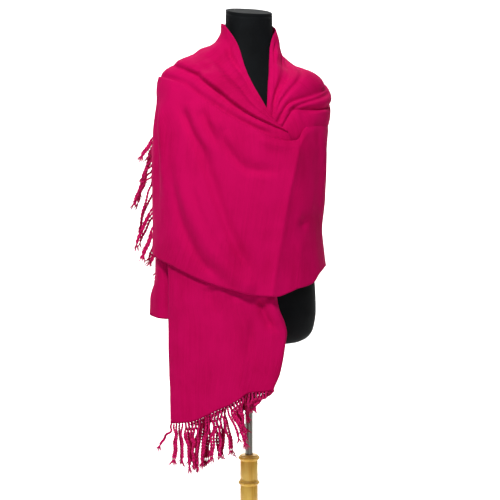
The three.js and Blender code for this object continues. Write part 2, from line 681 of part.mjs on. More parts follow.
function hangingEnd() {
  const place = (u, v) => {
    const turn = Math.min(1, Math.max(0, (u - FOLD_START) / (FOLD_END - FOLD_START)));
    const frontShare = Math.min(1, u / FOLD_START);
    const backShare = Math.max(0, (u - FOLD_END) / (1 - FOLD_END));
    const nominal = mix(HANGING_LEFT, HANGING_RIGHT, frontShare) - backShare * (HANGING_RIGHT - HANGING_BACK_LEFT);
    const topAround = mix(HANGING_LEFT, HANGING_TOP_RIGHT, frontShare);
    const front = read(HANGING_TOP, 'around', topAround, 'z') - HANGING_GAP;
    const top = mix(front, HANGING_BACK_TOP, ease(turn * 1.4));
    const z = mix(top, read(HANGING_HEM, 'around', nominal, 'z'), v);
    const [left, right] = ['left', 'right'].map((side) => read(HANGING_SIDES, 'z', z, side));
    const flat = mix(left, right, frontShare) - backShare * (right - HANGING_BACK_LEFT);
    const around = flat + (FOLD_RADIUS / MM_PER_DEGREE) * Math.sin(Math.PI * turn);
    const under = ease((front - z) / 60) * ease((z - WRAP_FOLDS_END) / 60);
    const own = ease((OWN_FOLDS_START - z) / 50) * (1 - backShare) * ease(1 - turn);
    const topLift = read(HANGING_TOP, 'around', around, 'lift');
    const base = mix(topLift, HANGING_LIFT, ease((front - z) / 80));
    const folds = under * foldRise(WRAP_FOLDS, around, z) * (1 - turn) + own * foldRise(HANGING_FOLDS, around, z);
    return lifted(around, z, CLOTH + base + folds - FOLD_RADIUS * (1 - Math.cos(Math.PI * turn)));
  };
  return grid(HANGING_COLUMNS, HANGING_ROWS, place);
}

// Fringes: a narrow strip off the cloth's edge that holds the strands' roots, fused with them
const solid = (shape) =>
  new wasm.Manifold(
    new wasm.Mesh({
      numProp: 3,
      vertProperties: new Float32Array(shape.attributes.position.array),
      triVerts: new Uint32Array(shape.index.array),
    }),
  );

function shapeOf(body) {
  const mesh = body.getMesh();
  const shape = new THREE.BufferGeometry();
  shape.setAttribute('position', new THREE.Float32BufferAttribute(mesh.vertProperties, 3));
  shape.setIndex(new THREE.Uint32BufferAttribute(mesh.triVerts, 1));
  return mergeVertices(shape, 1e-4);
}

// Uneven by a little, the same on each run.
const unevenness = (index, salt) => Math.sin(index * 12.9898 + salt * 78.233);

// A strand leaves the cloth square to its edge and soon hangs down. Its rings turn with it, without a twist.
function strand({ root, leave, along, hang, length, bow }) {
  const rings = [];
  const side = along.clone();
  for (const { t, radius } of STRAND_RINGS) {
    const heading = leave.clone().lerp(hang, ease(t * 1.5)).normalize();
    const aside = bow * Math.sin(Math.PI * t);
    const middle = root.clone().addScaledVector(heading, length * t).addScaledVector(along, aside);
    side.addScaledVector(heading, -side.dot(heading)).normalize();
    const front = heading.clone().cross(side);
    rings.push(
      Array.from({ length: STRAND_SIDES }, (unused, k) => {
        const angle = (2 * Math.PI * k) / STRAND_SIDES;
        return middle
          .clone()
          .addScaledVector(side, radius * Math.cos(angle))
          .addScaledVector(front, radius * Math.sin(angle));
      }),
    );
  }
  return lofted(rings);
}

// edge: points of the cloth's outer face along its end, and before: the points one step back from the end.
function fringe({ edge, before, strip, hangAt, lengthAt, bowAt, count }) {
  const leave = edge.map((p, i) => p.clone().sub(before[i]).normalize());
  const beyond = (distance) => edge.map((p, i) => p.clone().addScaledVector(leave[i], distance));
  const band = wall(strip(beyond(STRIP_GAP), beyond(STRIP_GAP + STRIP_DEPTH)));
  const run = [0];
  for (let i = 1; i < edge.length; i += 1) run.push(run[i - 1] + edge[i].distanceTo(edge[i - 1]));
  const total = run[run.length - 1];
  const strands = Array.from({ length: count }, (unused, index) => {
    const share = index / (count - 1);
    const goal = mix(STRIP_MARGIN, total - STRIP_MARGIN, share);
    let i = 0;
    while (i < run.length - 2 && run[i + 1] < goal) i += 1;
    const t = (goal - run[i]) / (run[i + 1] - run[i]);
    const out = leave[i].clone().lerp(leave[i + 1], t).normalize();
    const along = edge[i + 1].clone().sub(edge[i]).normalize();
    const inward = along.clone().cross(out).normalize();
    const root = edge[i].clone().lerp(edge[i + 1], t);
    root.addScaledVector(out, STRIP_GAP + STRIP_DEPTH - ROOT_DEPTH).addScaledVector(inward, CLOTH / 2);
    const [hang, length, bow] = [hangAt(share, index), lengthAt(index), bowAt(index)];
    return solid(strand({ root, leave: out, along, hang, length, bow }));
  });
  return shapeOf(wasm.Manifold.union([solid(band), ...strands]).simplify(SMALLEST_EDGE));
}

const stripBelow = (near, far) => near.map((p, i) => [p, far[i]]);
const stripAtLeft = (near, far) => [far, near];

const SWAY = 0.02; // how far a strand strays from its way down, for each millimetre down
// How far the strands of the upright edge lean, for each millimetre down. Less would bring them together.
const SIDE_HANG = [
  { share: 0, left: 0.34, back: 0.34 },
  { share: 0.3, left: 0.38, back: 0.44 },
  { share: 0.44, left: 0.46, back: 0.38 },
  { share: 0.58, left: 0.46, back: 0.16 },
  { share: 0.7, left: 0.38, back: 0.26 },
  { share: 0.85, left: 0.2, back: 0.42 },
  { share: 1, left: 0.16, back: 0.44 },
];

function frontFringe(cloth) {
  return fringe({
    edge: cloth.map((column) => column.at(-1)),
    before: cloth.map((column) => column.at(-2)),
    strip: stripBelow,
    count: FRONT_STRANDS,
    hangAt: (share, index) => new THREE.Vector3(SWAY * unevenness(index, 1), SWAY * unevenness(index, 2), -1),
    lengthAt: (index) => FRINGE_LENGTH * (1 + 0.07 * unevenness(index, 5)),
    bowAt: (index) => 1.6 * unevenness(index, 3),
  });
}

function sideFringe(cloth) {
  return fringe({
    edge: cloth[0],
    before: cloth[1],
    strip: stripAtLeft,
    count: SIDE_STRANDS,
    hangAt: (share) => {
      const [left, back] = ['left', 'back'].map((column) => read(SIDE_HANG, 'share', share, column));
      return new THREE.Vector3(-left, back, -1).normalize();
    },
    lengthAt: (index) => FRINGE_LENGTH * (1 + 0.05 * unevenness(index, 5)),
    bowAt: () => 0,
  });
}

const finish = (color, roughness, metalness = 0) => new THREE.MeshStandardMaterial({ color, roughness, metalness });
const cloth = finish(MAGENTA, 0.75);
const yarn = finish(MAGENTA, 0.85);
const jersey = finish(0x151515, 0.9);
const steel = finish(0xb9b6ae, 0.25, 1);
const wood = finish(0xc98f4c, 0.45);

function part(name, shape, material) {
  const mesh = new THREE.Mesh(shape, material);
  mesh.name = name;
  shape.computeVertexNormals();
  return mesh;
}

const wrapCloth = wrap();
const hangingCloth = hangingEnd();
const shawl = new THREE.Group();
shawl.add(
  part('shawl_cape_back', wall(cape()), cloth),
  part('shawl_wrap_front', wall(wrapCloth), cloth),
  part('shawl_collar', wall(collar()), cloth),
  part('shawl_shoulder_gather', wall(gather()), cloth),
  part('shawl_hanging_end', wall(hangingCloth), cloth),
  part('fringe_hanging_end', frontFringe(hangingCloth), yarn),
  part('fringe_wrap_end', sideFringe(wrapCloth), yarn),
);
const stand = new THREE.Group();
stand.add(
  part('form_torso', dressForm(), jersey),
  part('form_neck_cap', neckCap(), jersey),
  part('stand_pole', pole(), steel),
  part('stand_post', woodenPost(), wood),
  part('stand_base', woodenBase(), wood),
);

const display = new THREE.Group();
display.add(shawl, stand);
export default display;
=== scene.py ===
# %% [markdown]
# # A pashmina shawl wound round a dress form
#
# One fringed rectangle of soft wool is wound round the shoulders of a black dress form on a turned wooden
# stand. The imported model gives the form's rings, the stand and plain walls for the cloth. This lesson
# dresses that frame: it keeps every size and place, and gives the cloth its folds, thin edges, twisted
# fringe and weave.

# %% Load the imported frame
import math

import bmesh
import bpy
import numpy as np
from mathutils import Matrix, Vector, noise


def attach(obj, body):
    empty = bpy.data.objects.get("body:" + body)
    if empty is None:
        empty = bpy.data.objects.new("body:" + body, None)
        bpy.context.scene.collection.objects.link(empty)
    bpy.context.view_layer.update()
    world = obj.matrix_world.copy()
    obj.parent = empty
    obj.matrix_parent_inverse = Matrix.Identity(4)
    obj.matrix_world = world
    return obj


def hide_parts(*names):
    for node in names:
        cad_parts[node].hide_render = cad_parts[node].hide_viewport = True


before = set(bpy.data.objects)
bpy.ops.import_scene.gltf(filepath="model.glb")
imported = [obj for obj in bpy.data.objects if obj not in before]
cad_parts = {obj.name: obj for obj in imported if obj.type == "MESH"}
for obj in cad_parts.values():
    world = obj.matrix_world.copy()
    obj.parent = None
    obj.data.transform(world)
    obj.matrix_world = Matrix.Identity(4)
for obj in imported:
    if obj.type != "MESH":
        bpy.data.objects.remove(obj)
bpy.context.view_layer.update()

MM = 0.001

# %% [markdown]
# ## The camera
#
# The photograph was taken from about 3.2 m with a long lens, a little above the middle of the shawl and
# tilted down. The camera is made first, so that every later step can be judged from the same place. A
# lens of 100 mm on a 36 mm wide square frame gives 2.3 mm for each pixel at the post.

# %% Camera at the photograph's place
CAMERA_PLACE = Vector((2.3, -3200.0, 1130.0)) * MM
CAMERA_AIM = Vector((2.3, 0.0, 943.0)) * MM
FOCAL_PIXELS = 1393.7
FRAME_PIXELS = 500
SENSOR_MM = 36.0
FARTHEST = 60


def set_camera():
    camera = bpy.data.objects.new("photo_camera", bpy.data.cameras.new("photo_camera"))
    bpy.context.scene.collection.objects.link(camera)
    camera.location = CAMERA_PLACE
    camera.rotation_euler = (CAMERA_AIM - CAMERA_PLACE).to_track_quat("-Z", "Y").to_euler()
    camera.data.sensor_width = SENSOR_MM
    camera.data.lens = FOCAL_PIXELS / FRAME_PIXELS * SENSOR_MM
    camera.data.clip_end = FARTHEST
    bpy.context.scene.camera = camera
    return camera


photo_camera = set_camera()
print("lens, mm:", round(photo_camera.data.lens, 1))

# %% [markdown]
# ## Reading small tables
#
# A figure and the cloth round it are easiest to describe by a few rings: how far the surface reaches to
# the left, right, front and back at some heights. Each table keeps named columns, and a smooth curve that
# never overshoots reads it at any place. All sizes here are millimetres, and angles round the form are
# degrees: 0 is the front, 90 the right, 180 the back and -90 the left.


# %% Tables, curves and blends
def table(names, *rows):
    return {name: np.array(column, float) for name, column in zip(names.split(), zip(*rows))}


def named_rows(names, *rows):
    return [dict(zip(names.split(), row)) for row in rows]


def read(source, key, at, column):
    keys, values = source[key], source[column]
    if keys[0] > keys[-1]:
        keys, values = keys[::-1], values[::-1]
    step = np.diff(keys)
    chord = np.diff(values) / step
    slope = np.zeros_like(values)
    slope[0], slope[-1] = chord[0], chord[-1]
    turning = chord[:-1] * chord[1:] <= 0
    total = np.where(turning, 1.0, chord[:-1] + chord[1:])
    slope[1:-1] = np.where(turning, 0.0, 2 * chord[:-1] * chord[1:] / total)
    at = np.clip(at, keys[0], keys[-1])
    i = np.clip(np.searchsorted(keys, at) - 1, 0, len(keys) - 2)
    t = (at - keys[i]) / step[i]
    start, end = values[i], values[i + 1]
    leave, arrive = slope[i] * step[i], slope[i + 1] * step[i]
    return (
        start * (2 * t**3 - 3 * t**2 + 1)
        + leave * (t**3 - 2 * t**2 + t)
        + end * (3 * t**2 - 2 * t**3)
        + arrive * (t**3 - t**2)
    )


def mix(a, b, t):
    return a + (b - a) * t


def ease(t):
    t = np.clip(t, 0.0, 1.0)
    return t * t * (3 - 2 * t)


# %% [markdown]
# ## The form and the drape as rings
#
# The dress form's rings are turned 17 degrees to the viewer's right. The cloth hangs free of the waist,
# so it has rings of its own, and where the two meet the outer one wins. A rounded ring between an ellipse
# and a rectangle suits both the torso and the bundled arms' width that the shawl keeps.

# %% Rings of the form and of the drape
CLOTH = 1.8
FORM_TURN = 17
SQUARENESS = 2.3
MM_PER_DEGREE = 3.3
FORM_BASE_Z = 732
NECK_TOP_Z = 1488
REST = 0.4
REST_Z = 1360
REST_HALF = 6
REST_EASE = 18
EASE_OFF = 4
FOOT_ROUND = 20
DRAPE_BLEND = 6
PROBE = 2.0

FORM_RINGS = table(
    "z side front back",
    (732, 120, 84, 92),
    (738, 133, 93, 103),
    (746, 142, 99, 111),
    (758, 149, 105, 117),
    (775, 153, 109, 122),
    (800, 156, 112, 125),
    (860, 154, 110, 121),
    (920, 138, 103, 108),
    (980, 120, 96, 97),
    (1020, 116, 94, 93),
    (1080, 124, 101, 96),
    (1140, 136, 117, 102),
    (1190, 146, 136, 107),
    (1230, 153, 133, 110),
    (1270, 162, 119, 110),
    (1300, 165, 104, 106),
    (1322, 156, 93, 99),
    (1338, 132, 84, 91),
    (1354, 104, 76, 82),
    (1370, 82, 67, 73),
    (1388, 65, 58, 64),
    (1408, 57, 53, 57),
    (1435, 53, 50, 53),
    (1490, 52, 49, 51),
)
FORM_RINGS["left"] = FORM_RINGS["right"] = FORM_RINGS["side"]
DRAPE_RINGS = table(
    "z left right front back",
    (1478, 54, 51, 50, 56),
    (1445, 59, 53, 51, 60),
    (1415, 76, 57, 54, 72),
    (1396, 108, 62, 59, 86),
    (1378, 133, 74, 68, 97),
    (1358, 180, 91, 79, 107),
    (1344, 195, 125, 88, 113),
    (1330, 199, 156, 97, 119),
    (1310, 201, 173, 109, 125),
    (1285, 203, 178, 123, 130),
    (1250, 207, 177, 138, 134),
    (1200, 211, 175.5, 149, 137),
    (1130, 212, 172, 154, 138),
    (1060, 212, 170, 155, 137),
    (990, 211, 163, 154, 137),
    (930, 213, 169, 153, 139),
    (880, 214, 176, 151, 142),
    (790, 216, 180, 148, 148),
)


def direction(around):
    return np.sin(np.radians(around)), np.cos(np.radians(around))


def ring_reach(rings, around, z):
    sine, cosine = direction(around)
    side = np.where(sine < 0, read(rings, "z", z, "left"), read(rings, "z", z, "right"))
    depth = np.where(cosine > 0, read(rings, "z", z, "front"), read(rings, "z", z, "back"))
    squares = np.abs(sine / side) ** SQUARENESS + np.abs(cosine / depth) ** SQUARENESS
    return squares ** (-1 / SQUARENESS)


def at_reach(reach, around, z):
    sine, cosine = direction(around)
    return np.stack([reach * sine, -reach * cosine, z + 0 * reach], axis=-1)


def form_reach(around, z):
    return ring_reach(FORM_RINGS, around - FORM_TURN, z)


def drape_reach(around, z):
    gap = mix(REST, EASE_OFF, ease((np.abs(z - REST_Z) - REST_HALF) / REST_EASE))
    on_form = form_reach(around, np.maximum(z, FORM_BASE_Z + FOOT_ROUND)) + gap
    free = ring_reach(DRAPE_RINGS, around, z)
    near = np.maximum(0, DRAPE_BLEND - np.abs(on_form - free)) / DRAPE_BLEND
    return np.maximum(on_form, free) + near * near * DRAPE_BLEND / 4


def drape_point(around, z):
    return at_reach(drape_reach(around, z), around, z)


def lifted(around, z, lift):
    around, z, lift = np.broadcast_arrays(around, z, lift)
    across = drape_point(around + PROBE, z) - drape_point(around - PROBE, z)
    upward = drape_point(around, z + PROBE) - drape_point(around, z - PROBE)
    outward = np.cross(across, upward)
    outward /= np.linalg.norm(outward, axis=-1, keepdims=True)
    return drape_point(around, z) + outward * lift[..., None]


# %% [markdown]
# ## Folds
#
# A fold in draped cloth is a ridge or a trough that runs along a curve, steeper on one side than on the
# other, and it dies away at its ends. Each row below holds one fold on the unrolled cloth: the places
# that it passes through, its width, its rise in millimetres (below 0 for a trough), how far it leans to
# one side, and how much of its length fades at the start and at the end. A pressed crease is sharp
# instead of rounded. Soft wool is never quite smooth between its folds, so a field of low, drawn-out
# wrinkles lies over everything.


# %% Folds along curves, and small wrinkles
PATH_POINTS = 26
CREASE_DECAY = 2


def fold_rows(*rows):
    """Rows of path, width, rise, lean and fade, with one more value, True, for a sharp crease."""
    return [dict(zip(("path", "width", "rise", "lean", "fade", "sharp"), (*row, False))) for row in rows]


def curve_points(one):
    """The fold's path as a smooth row of points, in millimetres on the unrolled cloth."""
    path = np.array(one["path"], float) * (MM_PER_DEGREE, 1.0)
    run = np.concatenate([[0], np.cumsum(np.linalg.norm(np.diff(path, axis=0), axis=1))])
    stops = dict(at=run, across=path[:, 0], height=path[:, 1])
    at = np.linspace(0, run[-1], PATH_POINTS)
    return np.stack([read(stops, "at", at, column) for column in ("across", "height")], axis=1)


def fold_rise(folds, around, z):
    spots = np.stack(np.broadcast_arrays(around * MM_PER_DEGREE, z), axis=-1).astype(float)
    rise = np.zeros(spots.shape[:-1])
    for one in folds:
        points = curve_points(one)
        nearest = np.full(rise.shape, np.inf)
        side = np.zeros(rise.shape)
        along = np.zeros(rise.shape)
        for k in range(len(points) - 1):
            chord = points[k + 1] - points[k]
            offset = spots - points[k]
            share = np.clip(offset @ chord / (chord @ chord), 0, 1)
            away = offset - share[..., None] * chord
            distance = np.hypot(away[..., 0], away[..., 1])
            closer = distance < nearest
            nearest = np.where(closer, distance, nearest)
            cross = chord[0] * away[..., 1] - chord[1] * away[..., 0]
            side = np.where(closer, np.sign(cross), side)
            along = np.where(closer, (k + share) / (len(points) - 1), along)
        reach = nearest / (one["width"] * (1 + one["lean"] * side))
        shape = np.exp(-CREASE_DECAY * reach) if one["sharp"] else np.exp(-(reach**2))
        for end, share in zip((along, 1 - along), one["fade"]):
            if share:
                shape = shape * ease(end / share)
        rise += one["rise"] * shape
    return rise


LEAST_LIFT = -0.2


def kept_off(lift):
    """A lift that never falls much below the drape, eased so that no crease appears there."""
    return LEAST_LIFT + np.logaddexp(0, lift - LEAST_LIFT)


WRINKLE_SIZE = (38.0, 38.0, 92.0)
WRINKLE_HEIGHT = 1.9
FINER_SHARE = 0.4
FINER_SCALE = 2.6


def wrinkles(around, z, height=WRINKLE_HEIGHT):
    """Low uneven hills and hollows, drawn out downwards, the same on every run."""
    spots = [Vector(spot) for spot in drape_point(around, z) / WRINKLE_SIZE]
    return height * np.array([noise.noise(s) + FINER_SHARE * noise.noise(s * FINER_SCALE) for s in spots])


# %% [markdown]
# ## One cloth, sewn from grids
#
# The shawl is a single uncut cloth, so its visible stretches have to run into each other without a line.
# Each stretch starts as a flat grid from Blender. A rule then carries every point of the grid to its
# place on the drape, and the stretches are welded where they share an edge. The alternative, a cloth
# simulation, would need the real winding of the cloth and would not land on the folds that the photograph
# shows.


# %% Make a stretch of cloth from a grid
def stretch_of_cloth(mesh, columns, rows, place, width, length):
    """A grid whose points go where place(u, v) says, u to the right and v down."""
    uv = mesh.loops.layers.uv.verify()
    made = bmesh.ops.create_grid(mesh, x_segments=columns, y_segments=rows, size=0.5, calc_uvs=True)
    corners = made["verts"]
    flat = np.array([corner.co[:2] for corner in corners])
    u, v = flat[:, 0] + 0.5, 0.5 - flat[:, 1]
    u, v = np.round(u * columns) / columns, np.round(v * rows) / rows
    for corner, point in zip(corners, place(u, v) * MM):
        corner.co = point
    for face in {face for corner in corners for face in corner.link_faces}:
        for loop in face.loops:
            loop[uv].uv = (loop[uv].uv[0] * width * MM, loop[uv].uv[1] * length * MM)


def new_piece(name, mesh, materials):
    data = bpy.data.meshes.new(name)
    for face in mesh.faces:
        face.smooth = True
    mesh.to_mesh(data)
    mesh.free()
    piece = bpy.data.objects.new(name, data)
    bpy.context.scene.collection.objects.link(piece)
    for material in materials:
        data.materials.append(material)
    return piece


def count_faces(piece):
    print(piece.name, "faces:", len(piece.data.polygons))


# %% [markdown]
# ## Materials
#
# Pashmina is a fine, soft twill. From a step away it looks matt with a soft bloom at grazing angles,
# which is what the sheen layer gives, and its ribs are between one and two millimetres apart. The weave
# follows the cloth's own UV map, so it bends with the folds. Jersey over the form is a flat black knit,
# the pole is brushed steel and the stand is honey-coloured turned wood.


# %% The steps that all node materials share
class Look:
    """A node material. A socket's name is written with underscores for its spaces."""

    def __init__(self, name, **values):
        self.material = bpy.data.materials.new(name)
        self.material.use_nodes = True
        self.tree = self.material.node_tree
        self.shader = self.fill(self.tree.nodes["Principled BSDF"], values)

    def fill(self, node, values):
        for name, value in values.items():
            socket = node.inputs.get(name.replace("_", " "))
            if socket is None:
                setattr(node, name, value)
            elif isinstance(value, bpy.types.NodeSocket):
                self.tree.links.new(value, socket)
            else:
                socket.default_value = value
        return node

    def add(self, kind, **values):
        return self.fill(self.tree.nodes.new("ShaderNode" + kind), values)

    def texture(self, kind, place, stretch=None, **values):
        """A texture along the UV map or the object's own space, stretched where that is asked."""
        place = self.add("TexCoord").outputs[place]
        if stretch:
            place = self.add("Mapping", Vector=place, Scale=stretch).outputs["Vector"]
        made = self.add("Tex" + kind, Vector=place, **values)
        return made.outputs["Distance" if kind == "Voronoi" else "Fac"]

    def blend(self, first, share, second):
        """The first value times the share, and the second one added."""
        made = self.add("Math", operation="MULTIPLY_ADD")
        self.tree.links.new(first, made.inputs[0])
        made.inputs[1].default_value = share
        self.tree.links.new(second, made.inputs[2])
        return made.outputs[0]

    def colour(self, amount, *stops):
        ramp = self.add("ValToRGB", Fac=amount)
        elements = ramp.color_ramp.elements
        while len(elements) < len(stops):
            elements.new(0.5)
        for element, (position, colour) in zip(elements, stops):
            element.position = position
            element.color = (*colour, 1.0)
        self.fill(self.shader, dict(Base_Color=ramp.outputs["Color"]))

    def bump(self, height, strength, distance):
        made = self.add("Bump", Strength=strength, Distance=distance * MM, Height=height)
        self.fill(self.shader, dict(Normal=made.outputs["Normal"]))


# %% Cloth material
CLOTH_DEEP = (0.42, 0.0009, 0.058)
CLOTH_BRIGHT = (0.57, 0.0020, 0.098)
CLOTH_BLOOM = (1.0, 0.03, 0.25, 1.0)
RIB_PITCH_MM = 1.6
BANDS_PER_PITCH = 0.32
THREADS = (900.0, 90.0, 1.0)
STREAKS = (250.0, 9.0, 1.0)


def pashmina():
    look = Look(
        "pashmina_twill",
        Roughness=0.8,
        Specular_IOR_Level=0.03,
        Sheen_Weight=0.12,
        Sheen_Roughness=0.4,
        Sheen_Tint=CLOTH_BLOOM,
    )
    ribs = look.texture(
        "Wave",
        "UV",
        wave_type="BANDS",
        bands_direction="DIAGONAL",
        Scale=BANDS_PER_PITCH / (RIB_PITCH_MM * MM),
        Distortion=1.2,
        Detail_Scale=4.0,
    )
    threads = look.texture("Noise", "UV", THREADS, Scale=1.0, Detail=3.0)
    streaks = look.texture("Noise", "UV", STREAKS, Scale=1.0, Detail=2.0)
    cloud = look.texture("Noise", "Object", Scale=9.0, Detail=4.0)
    tone = look.blend(threads, 0.3, look.blend(streaks, 0.4, cloud))
    look.colour(tone, (0.45, CLOTH_DEEP), (0.95, CLOTH_BRIGHT))
    look.bump(look.blend(threads, 0.6, ribs), 0.35, 0.4)
    return look.material


# %% Yarn, jersey, steel and wood
YARN_BLOOM = (1.0, 0.1, 0.35, 1.0)
ALONG_POLE = (300.0, 300.0, 6.0)
ALONG_POST = (60.0, 60.0, 5.0)


def twisted_yarn(name, deep, bright):
    look = Look(name, Roughness=0.75, Specular_IOR_Level=0.08, Sheen_Weight=0.2, Sheen_Tint=YARN_BLOOM)
    fluff = look.texture("Noise", "Object", Scale=280.0, Detail=4.0)
    look.colour(fluff, (0.35, deep), (0.65, bright))
    look.bump(fluff, 0.5, 0.4)
    return look.material


def black_jersey():
    look = Look("black_jersey", Roughness=0.8, Specular_IOR_Level=0.1, Sheen_Weight=0.02, Sheen_Roughness=0.4)
    knit = look.texture("Voronoi", "Object", Scale=900.0)
    cloud = look.texture("Noise", "Object", Scale=14.0, Detail=5.0)
    look.colour(cloud, (0.35, (0.0028, 0.0034, 0.004)), (0.7, (0.006, 0.0072, 0.0085)))
    look.bump(knit, 0.25, 0.3)
    return look.material


def brushed_steel():
    look = Look("brushed_steel", Metallic=1.0, Roughness=0.24)
    brush = look.texture("Noise", "Object", ALONG_POLE, Scale=1.0, Detail=3.0)
    look.colour(brush, (0.3, (0.16, 0.15, 0.13)), (0.7, (0.34, 0.32, 0.29)))
    return look.material


def honey_wood():
    look = Look("honey_wood", Roughness=0.38, Specular_IOR_Level=0.3, Coat_Weight=0.06, Coat_Roughness=0.2)
    grain = look.texture("Noise", "Object", ALONG_POST, Scale=1.0, Detail=8.0, Roughness=0.65, Distortion=0.8)
    look.colour(grain, (0.30, (0.58, 0.28, 0.04)), (0.48, (0.86, 0.50, 0.078)), (0.68, (0.94, 0.64, 0.14)))
    look.bump(grain, 0.2, 0.5)
    return look.material


shawl_cloth = pashmina()
yarn = twisted_yarn("twisted_yarn", (0.34, 0.0009, 0.04), (0.86, 0.014, 0.2))
# A darker copy of the yarn: painted shade on the back layer of the hanging end's fringe. The same yarn also
# goes on every seventh strand in front and on the loose strands of the wrap end's fringe.
deep_tone_and_shade_yarn = twisted_yarn("deep_tone_and_shade_yarn", (0.15, 0.0005, 0.014), (0.5, 0.003, 0.08))
jersey = black_jersey()
steel = brushed_steel()
wood = honey_wood()
print("materials:", [material.name for material in (shawl_cloth, yarn, deep_tone_and_shade_yarn, jersey, steel, wood)])

# %% [markdown]
# ## The shoulder seams
#
# There is no seam in the real cloth. These are only the lines along which the grids of the back, the
# collar and the gather share their points, so that the weld leaves one surface. Rows are counted from the
# neck downwards.

# %% Shared lines between the stretches
SHOULDER_LINES = table(
    "row z left right",
    (0, 1462, -130, 130),
    (8, 1437, -121, 123),
    (16, 1410, -112, 117.5),
    (24, 1384, -105, 113.5),
    (32, 1360, -100, 111),
    (40, 1340, -96, 109.5),
    (48, 1320, -94, 109),
    (56, 1280, -94, 109),
    (64, 1232, -94, 109),
)
COLLAR_ROWS = 48
SHOULDER_ROWS = 64
WRAP_ROWS = 84
WRAP_SEAM = 109
SEAM_END_Z = 1232
NAPE_Z = 1466


def seam_place(row, side):
    return read(SHOULDER_LINES, "row", row, side), read(SHOULDER_LINES, "row", row, "z")


# %% [markdown]
# ## Collar and gather
#
# Over the viewer's left shoulder the cloth rolls into a broad collar: a soft roll with a deep trough
# below it. Over the other shoulder it is gathered into pleats that run together where the collar crosses
# them. Both are fans of lines, each line a ridge or a trough that passes through a few stations, with a
# smooth blend between the lines.

# %% Lines of the collar and the gather
COLLAR_STATIONS = {"seam": 0.0, "shoulder": 0.2, "quarter": 0.4, "middle": 0.6, "near": 0.8, "end": 1.0}
COLLAR_LINES = named_rows(
    "shoulder quarter middle near end",
    ((-70, 1457), (-27, 1415), (-4, 1344), (10, 1289), (21, 1234)),
    ((-76, 1436), (-33, 1392), (-9, 1336), (8, 1281), (23, 1229)),
    ((-77, 1402), (-42, 1364), (-16, 1318), (3, 1268), (25, 1223)),
    ((-78, 1379), (-50, 1346), (-25, 1309), (-3, 1264), (27, 1216)),
    ((-80, 1368), (-53, 1339), (-29.5, 1303), (-6, 1261), (29, 1212)),
    ((-82, 1361), (-55, 1335), (-31.5, 1299), (-8, 1257), (31, 1208.5)),
    ((-85, 1346), (-59, 1320), (-36, 1284), (-11, 1240), (33, 1199)),
    ((-86.5, 1324), (-59.5, 1301), (-37, 1265), (-10.5, 1223), (34, 1190)),
    ((-86, 1306), (-60, 1283), (-37, 1243), (-10, 1205), (34, 1180)),
)
COLLAR_LIFTS = named_rows(
    "seam shoulder quarter middle near end",
    (1, 4, 5, 5, 6, 7),
    (0, 2, 1.5, 1.5, 4, 7),
    (0, 0, 6, 7, 8, 9),
    (0, 6, 12, 16, 15, 12),
    (1, 9, 14, 17, 15, 12),
    (0, 0.5, 0, 0, 2, 8),
    (0, 2, 4, 4, 5, 8.5),
    (0, 2, 2.5, 3, 5, 8),
    (0, 2, 2, 2, 4, 7),
)
COLLAR_FOLDS = fold_rows(
    ([(-46, 1404), (-28, 1370), (-15.5, 1346), (-8, 1331)], 5.5, -6, 0.3, (0.2, 0.3)),
    ([(-36, 1402), (-21, 1371), (-8, 1344)], 7, 4, 0, (0.3, 0.3)),
    ([(-72, 1398), (-48, 1386), (-30, 1356)], 13, 4, 0, (0.3, 0.4)),
    ([(-70, 1384), (-48, 1366), (-26, 1330), (-4, 1288)], 9, -3.5, 0, (0.3, 0.4)),
    ([(-60, 1372), (-42, 1346), (-20, 1306), (0, 1270)], 8, 3, 0, (0.3, 0.4)),
    ([(-84, 1341), (-60, 1318), (-36, 1279), (-12, 1241), (8, 1215), (22, 1200)], 6, -6, 0, (0.1, 0.1)),
)
GATHER_FOLDS = fold_rows(
    ([(60, 1392), (45, 1372), (33, 1336), (22, 1290)], 6, 4, 0, (0.2, 0.3)),
    ([(76, 1400), (60, 1366), (44, 1332), (31, 1296)], 6, -3, 0, (0.2, 0.3)),
    ([(64, 1262), (49.4, 1254), (40, 1243)], 9, -4, 0, (0.3, 0.3)),
    ([(26, 1250), (28, 1240), (23, 1230)], 4, -4, 0, (0.2, 0.2)),
    ([(78, 1396), (58, 1368), (39, 1330), (25, 1284), (19, 1248)], 4, -5, 0, (0.2, 0.2)),
    ([(84, 1362), (62, 1338), (45, 1308), (29, 1272), (21, 1238)], 4, -5, 0, (0.2, 0.2)),
    ([(86, 1304), (62, 1283), (45, 1268), (30, 1248)], 4, -5, 0, (0.2, 0.2)),
    ([(70, 1424), (48, 1386), (34, 1342), (24, 1294)], 4, -4, 0, (0.2, 0.2)),
)
GATHER_STATIONS = {"end": 0.0, "near": 0.22, "middle": 0.42, "shoulder": 0.74, "seam": 1.0}
GATHER_LINES = named_rows(
    "end near middle shoulder rise",
    ((15, 1247), (21, 1312), (38, 1382), (66, 1434), 2),
    ((17, 1241), (24, 1301), (42, 1364), (75, 1412), 9),
    ((19, 1236), (27, 1288), (50, 1338), (80, 1376), 0.5),
    ((21, 1231), (31, 1280), (50, 1315), (83, 1346), 12),
    ((23, 1226), (36, 1270), (58, 1290), (86, 1316), 1),
    ((24, 1221), (39, 1266), (60, 1276), (87, 1294), 10),
    ((26, 1215), (41, 1259), (58, 1260), (87, 1276), 0.5),
    ((28, 1206), (42, 1238), (58, 1249), (84, 1260), 9),
    ((30, 1186), (46, 1177), (61, 1212), (88, 1222), 0),
)
GATHER_SHARES = {"end": 0.3, "near": 0.8, "middle": 1.0, "shoulder": 0.8, "seam": 0.25}
GATHER_BASE_LIFT = 0.3
SEAM_EASE = {"left": 0.1, "right": 0.12}
VALLEY_POWER = 2.4
TINY = 1e-9


def collar_lift(line, station):
    return COLLAR_LIFTS[line][station]


def gather_lift(line, station):
    return GATHER_BASE_LIFT * (station != "seam") + GATHER_LINES[line]["rise"] * GATHER_SHARES[station]


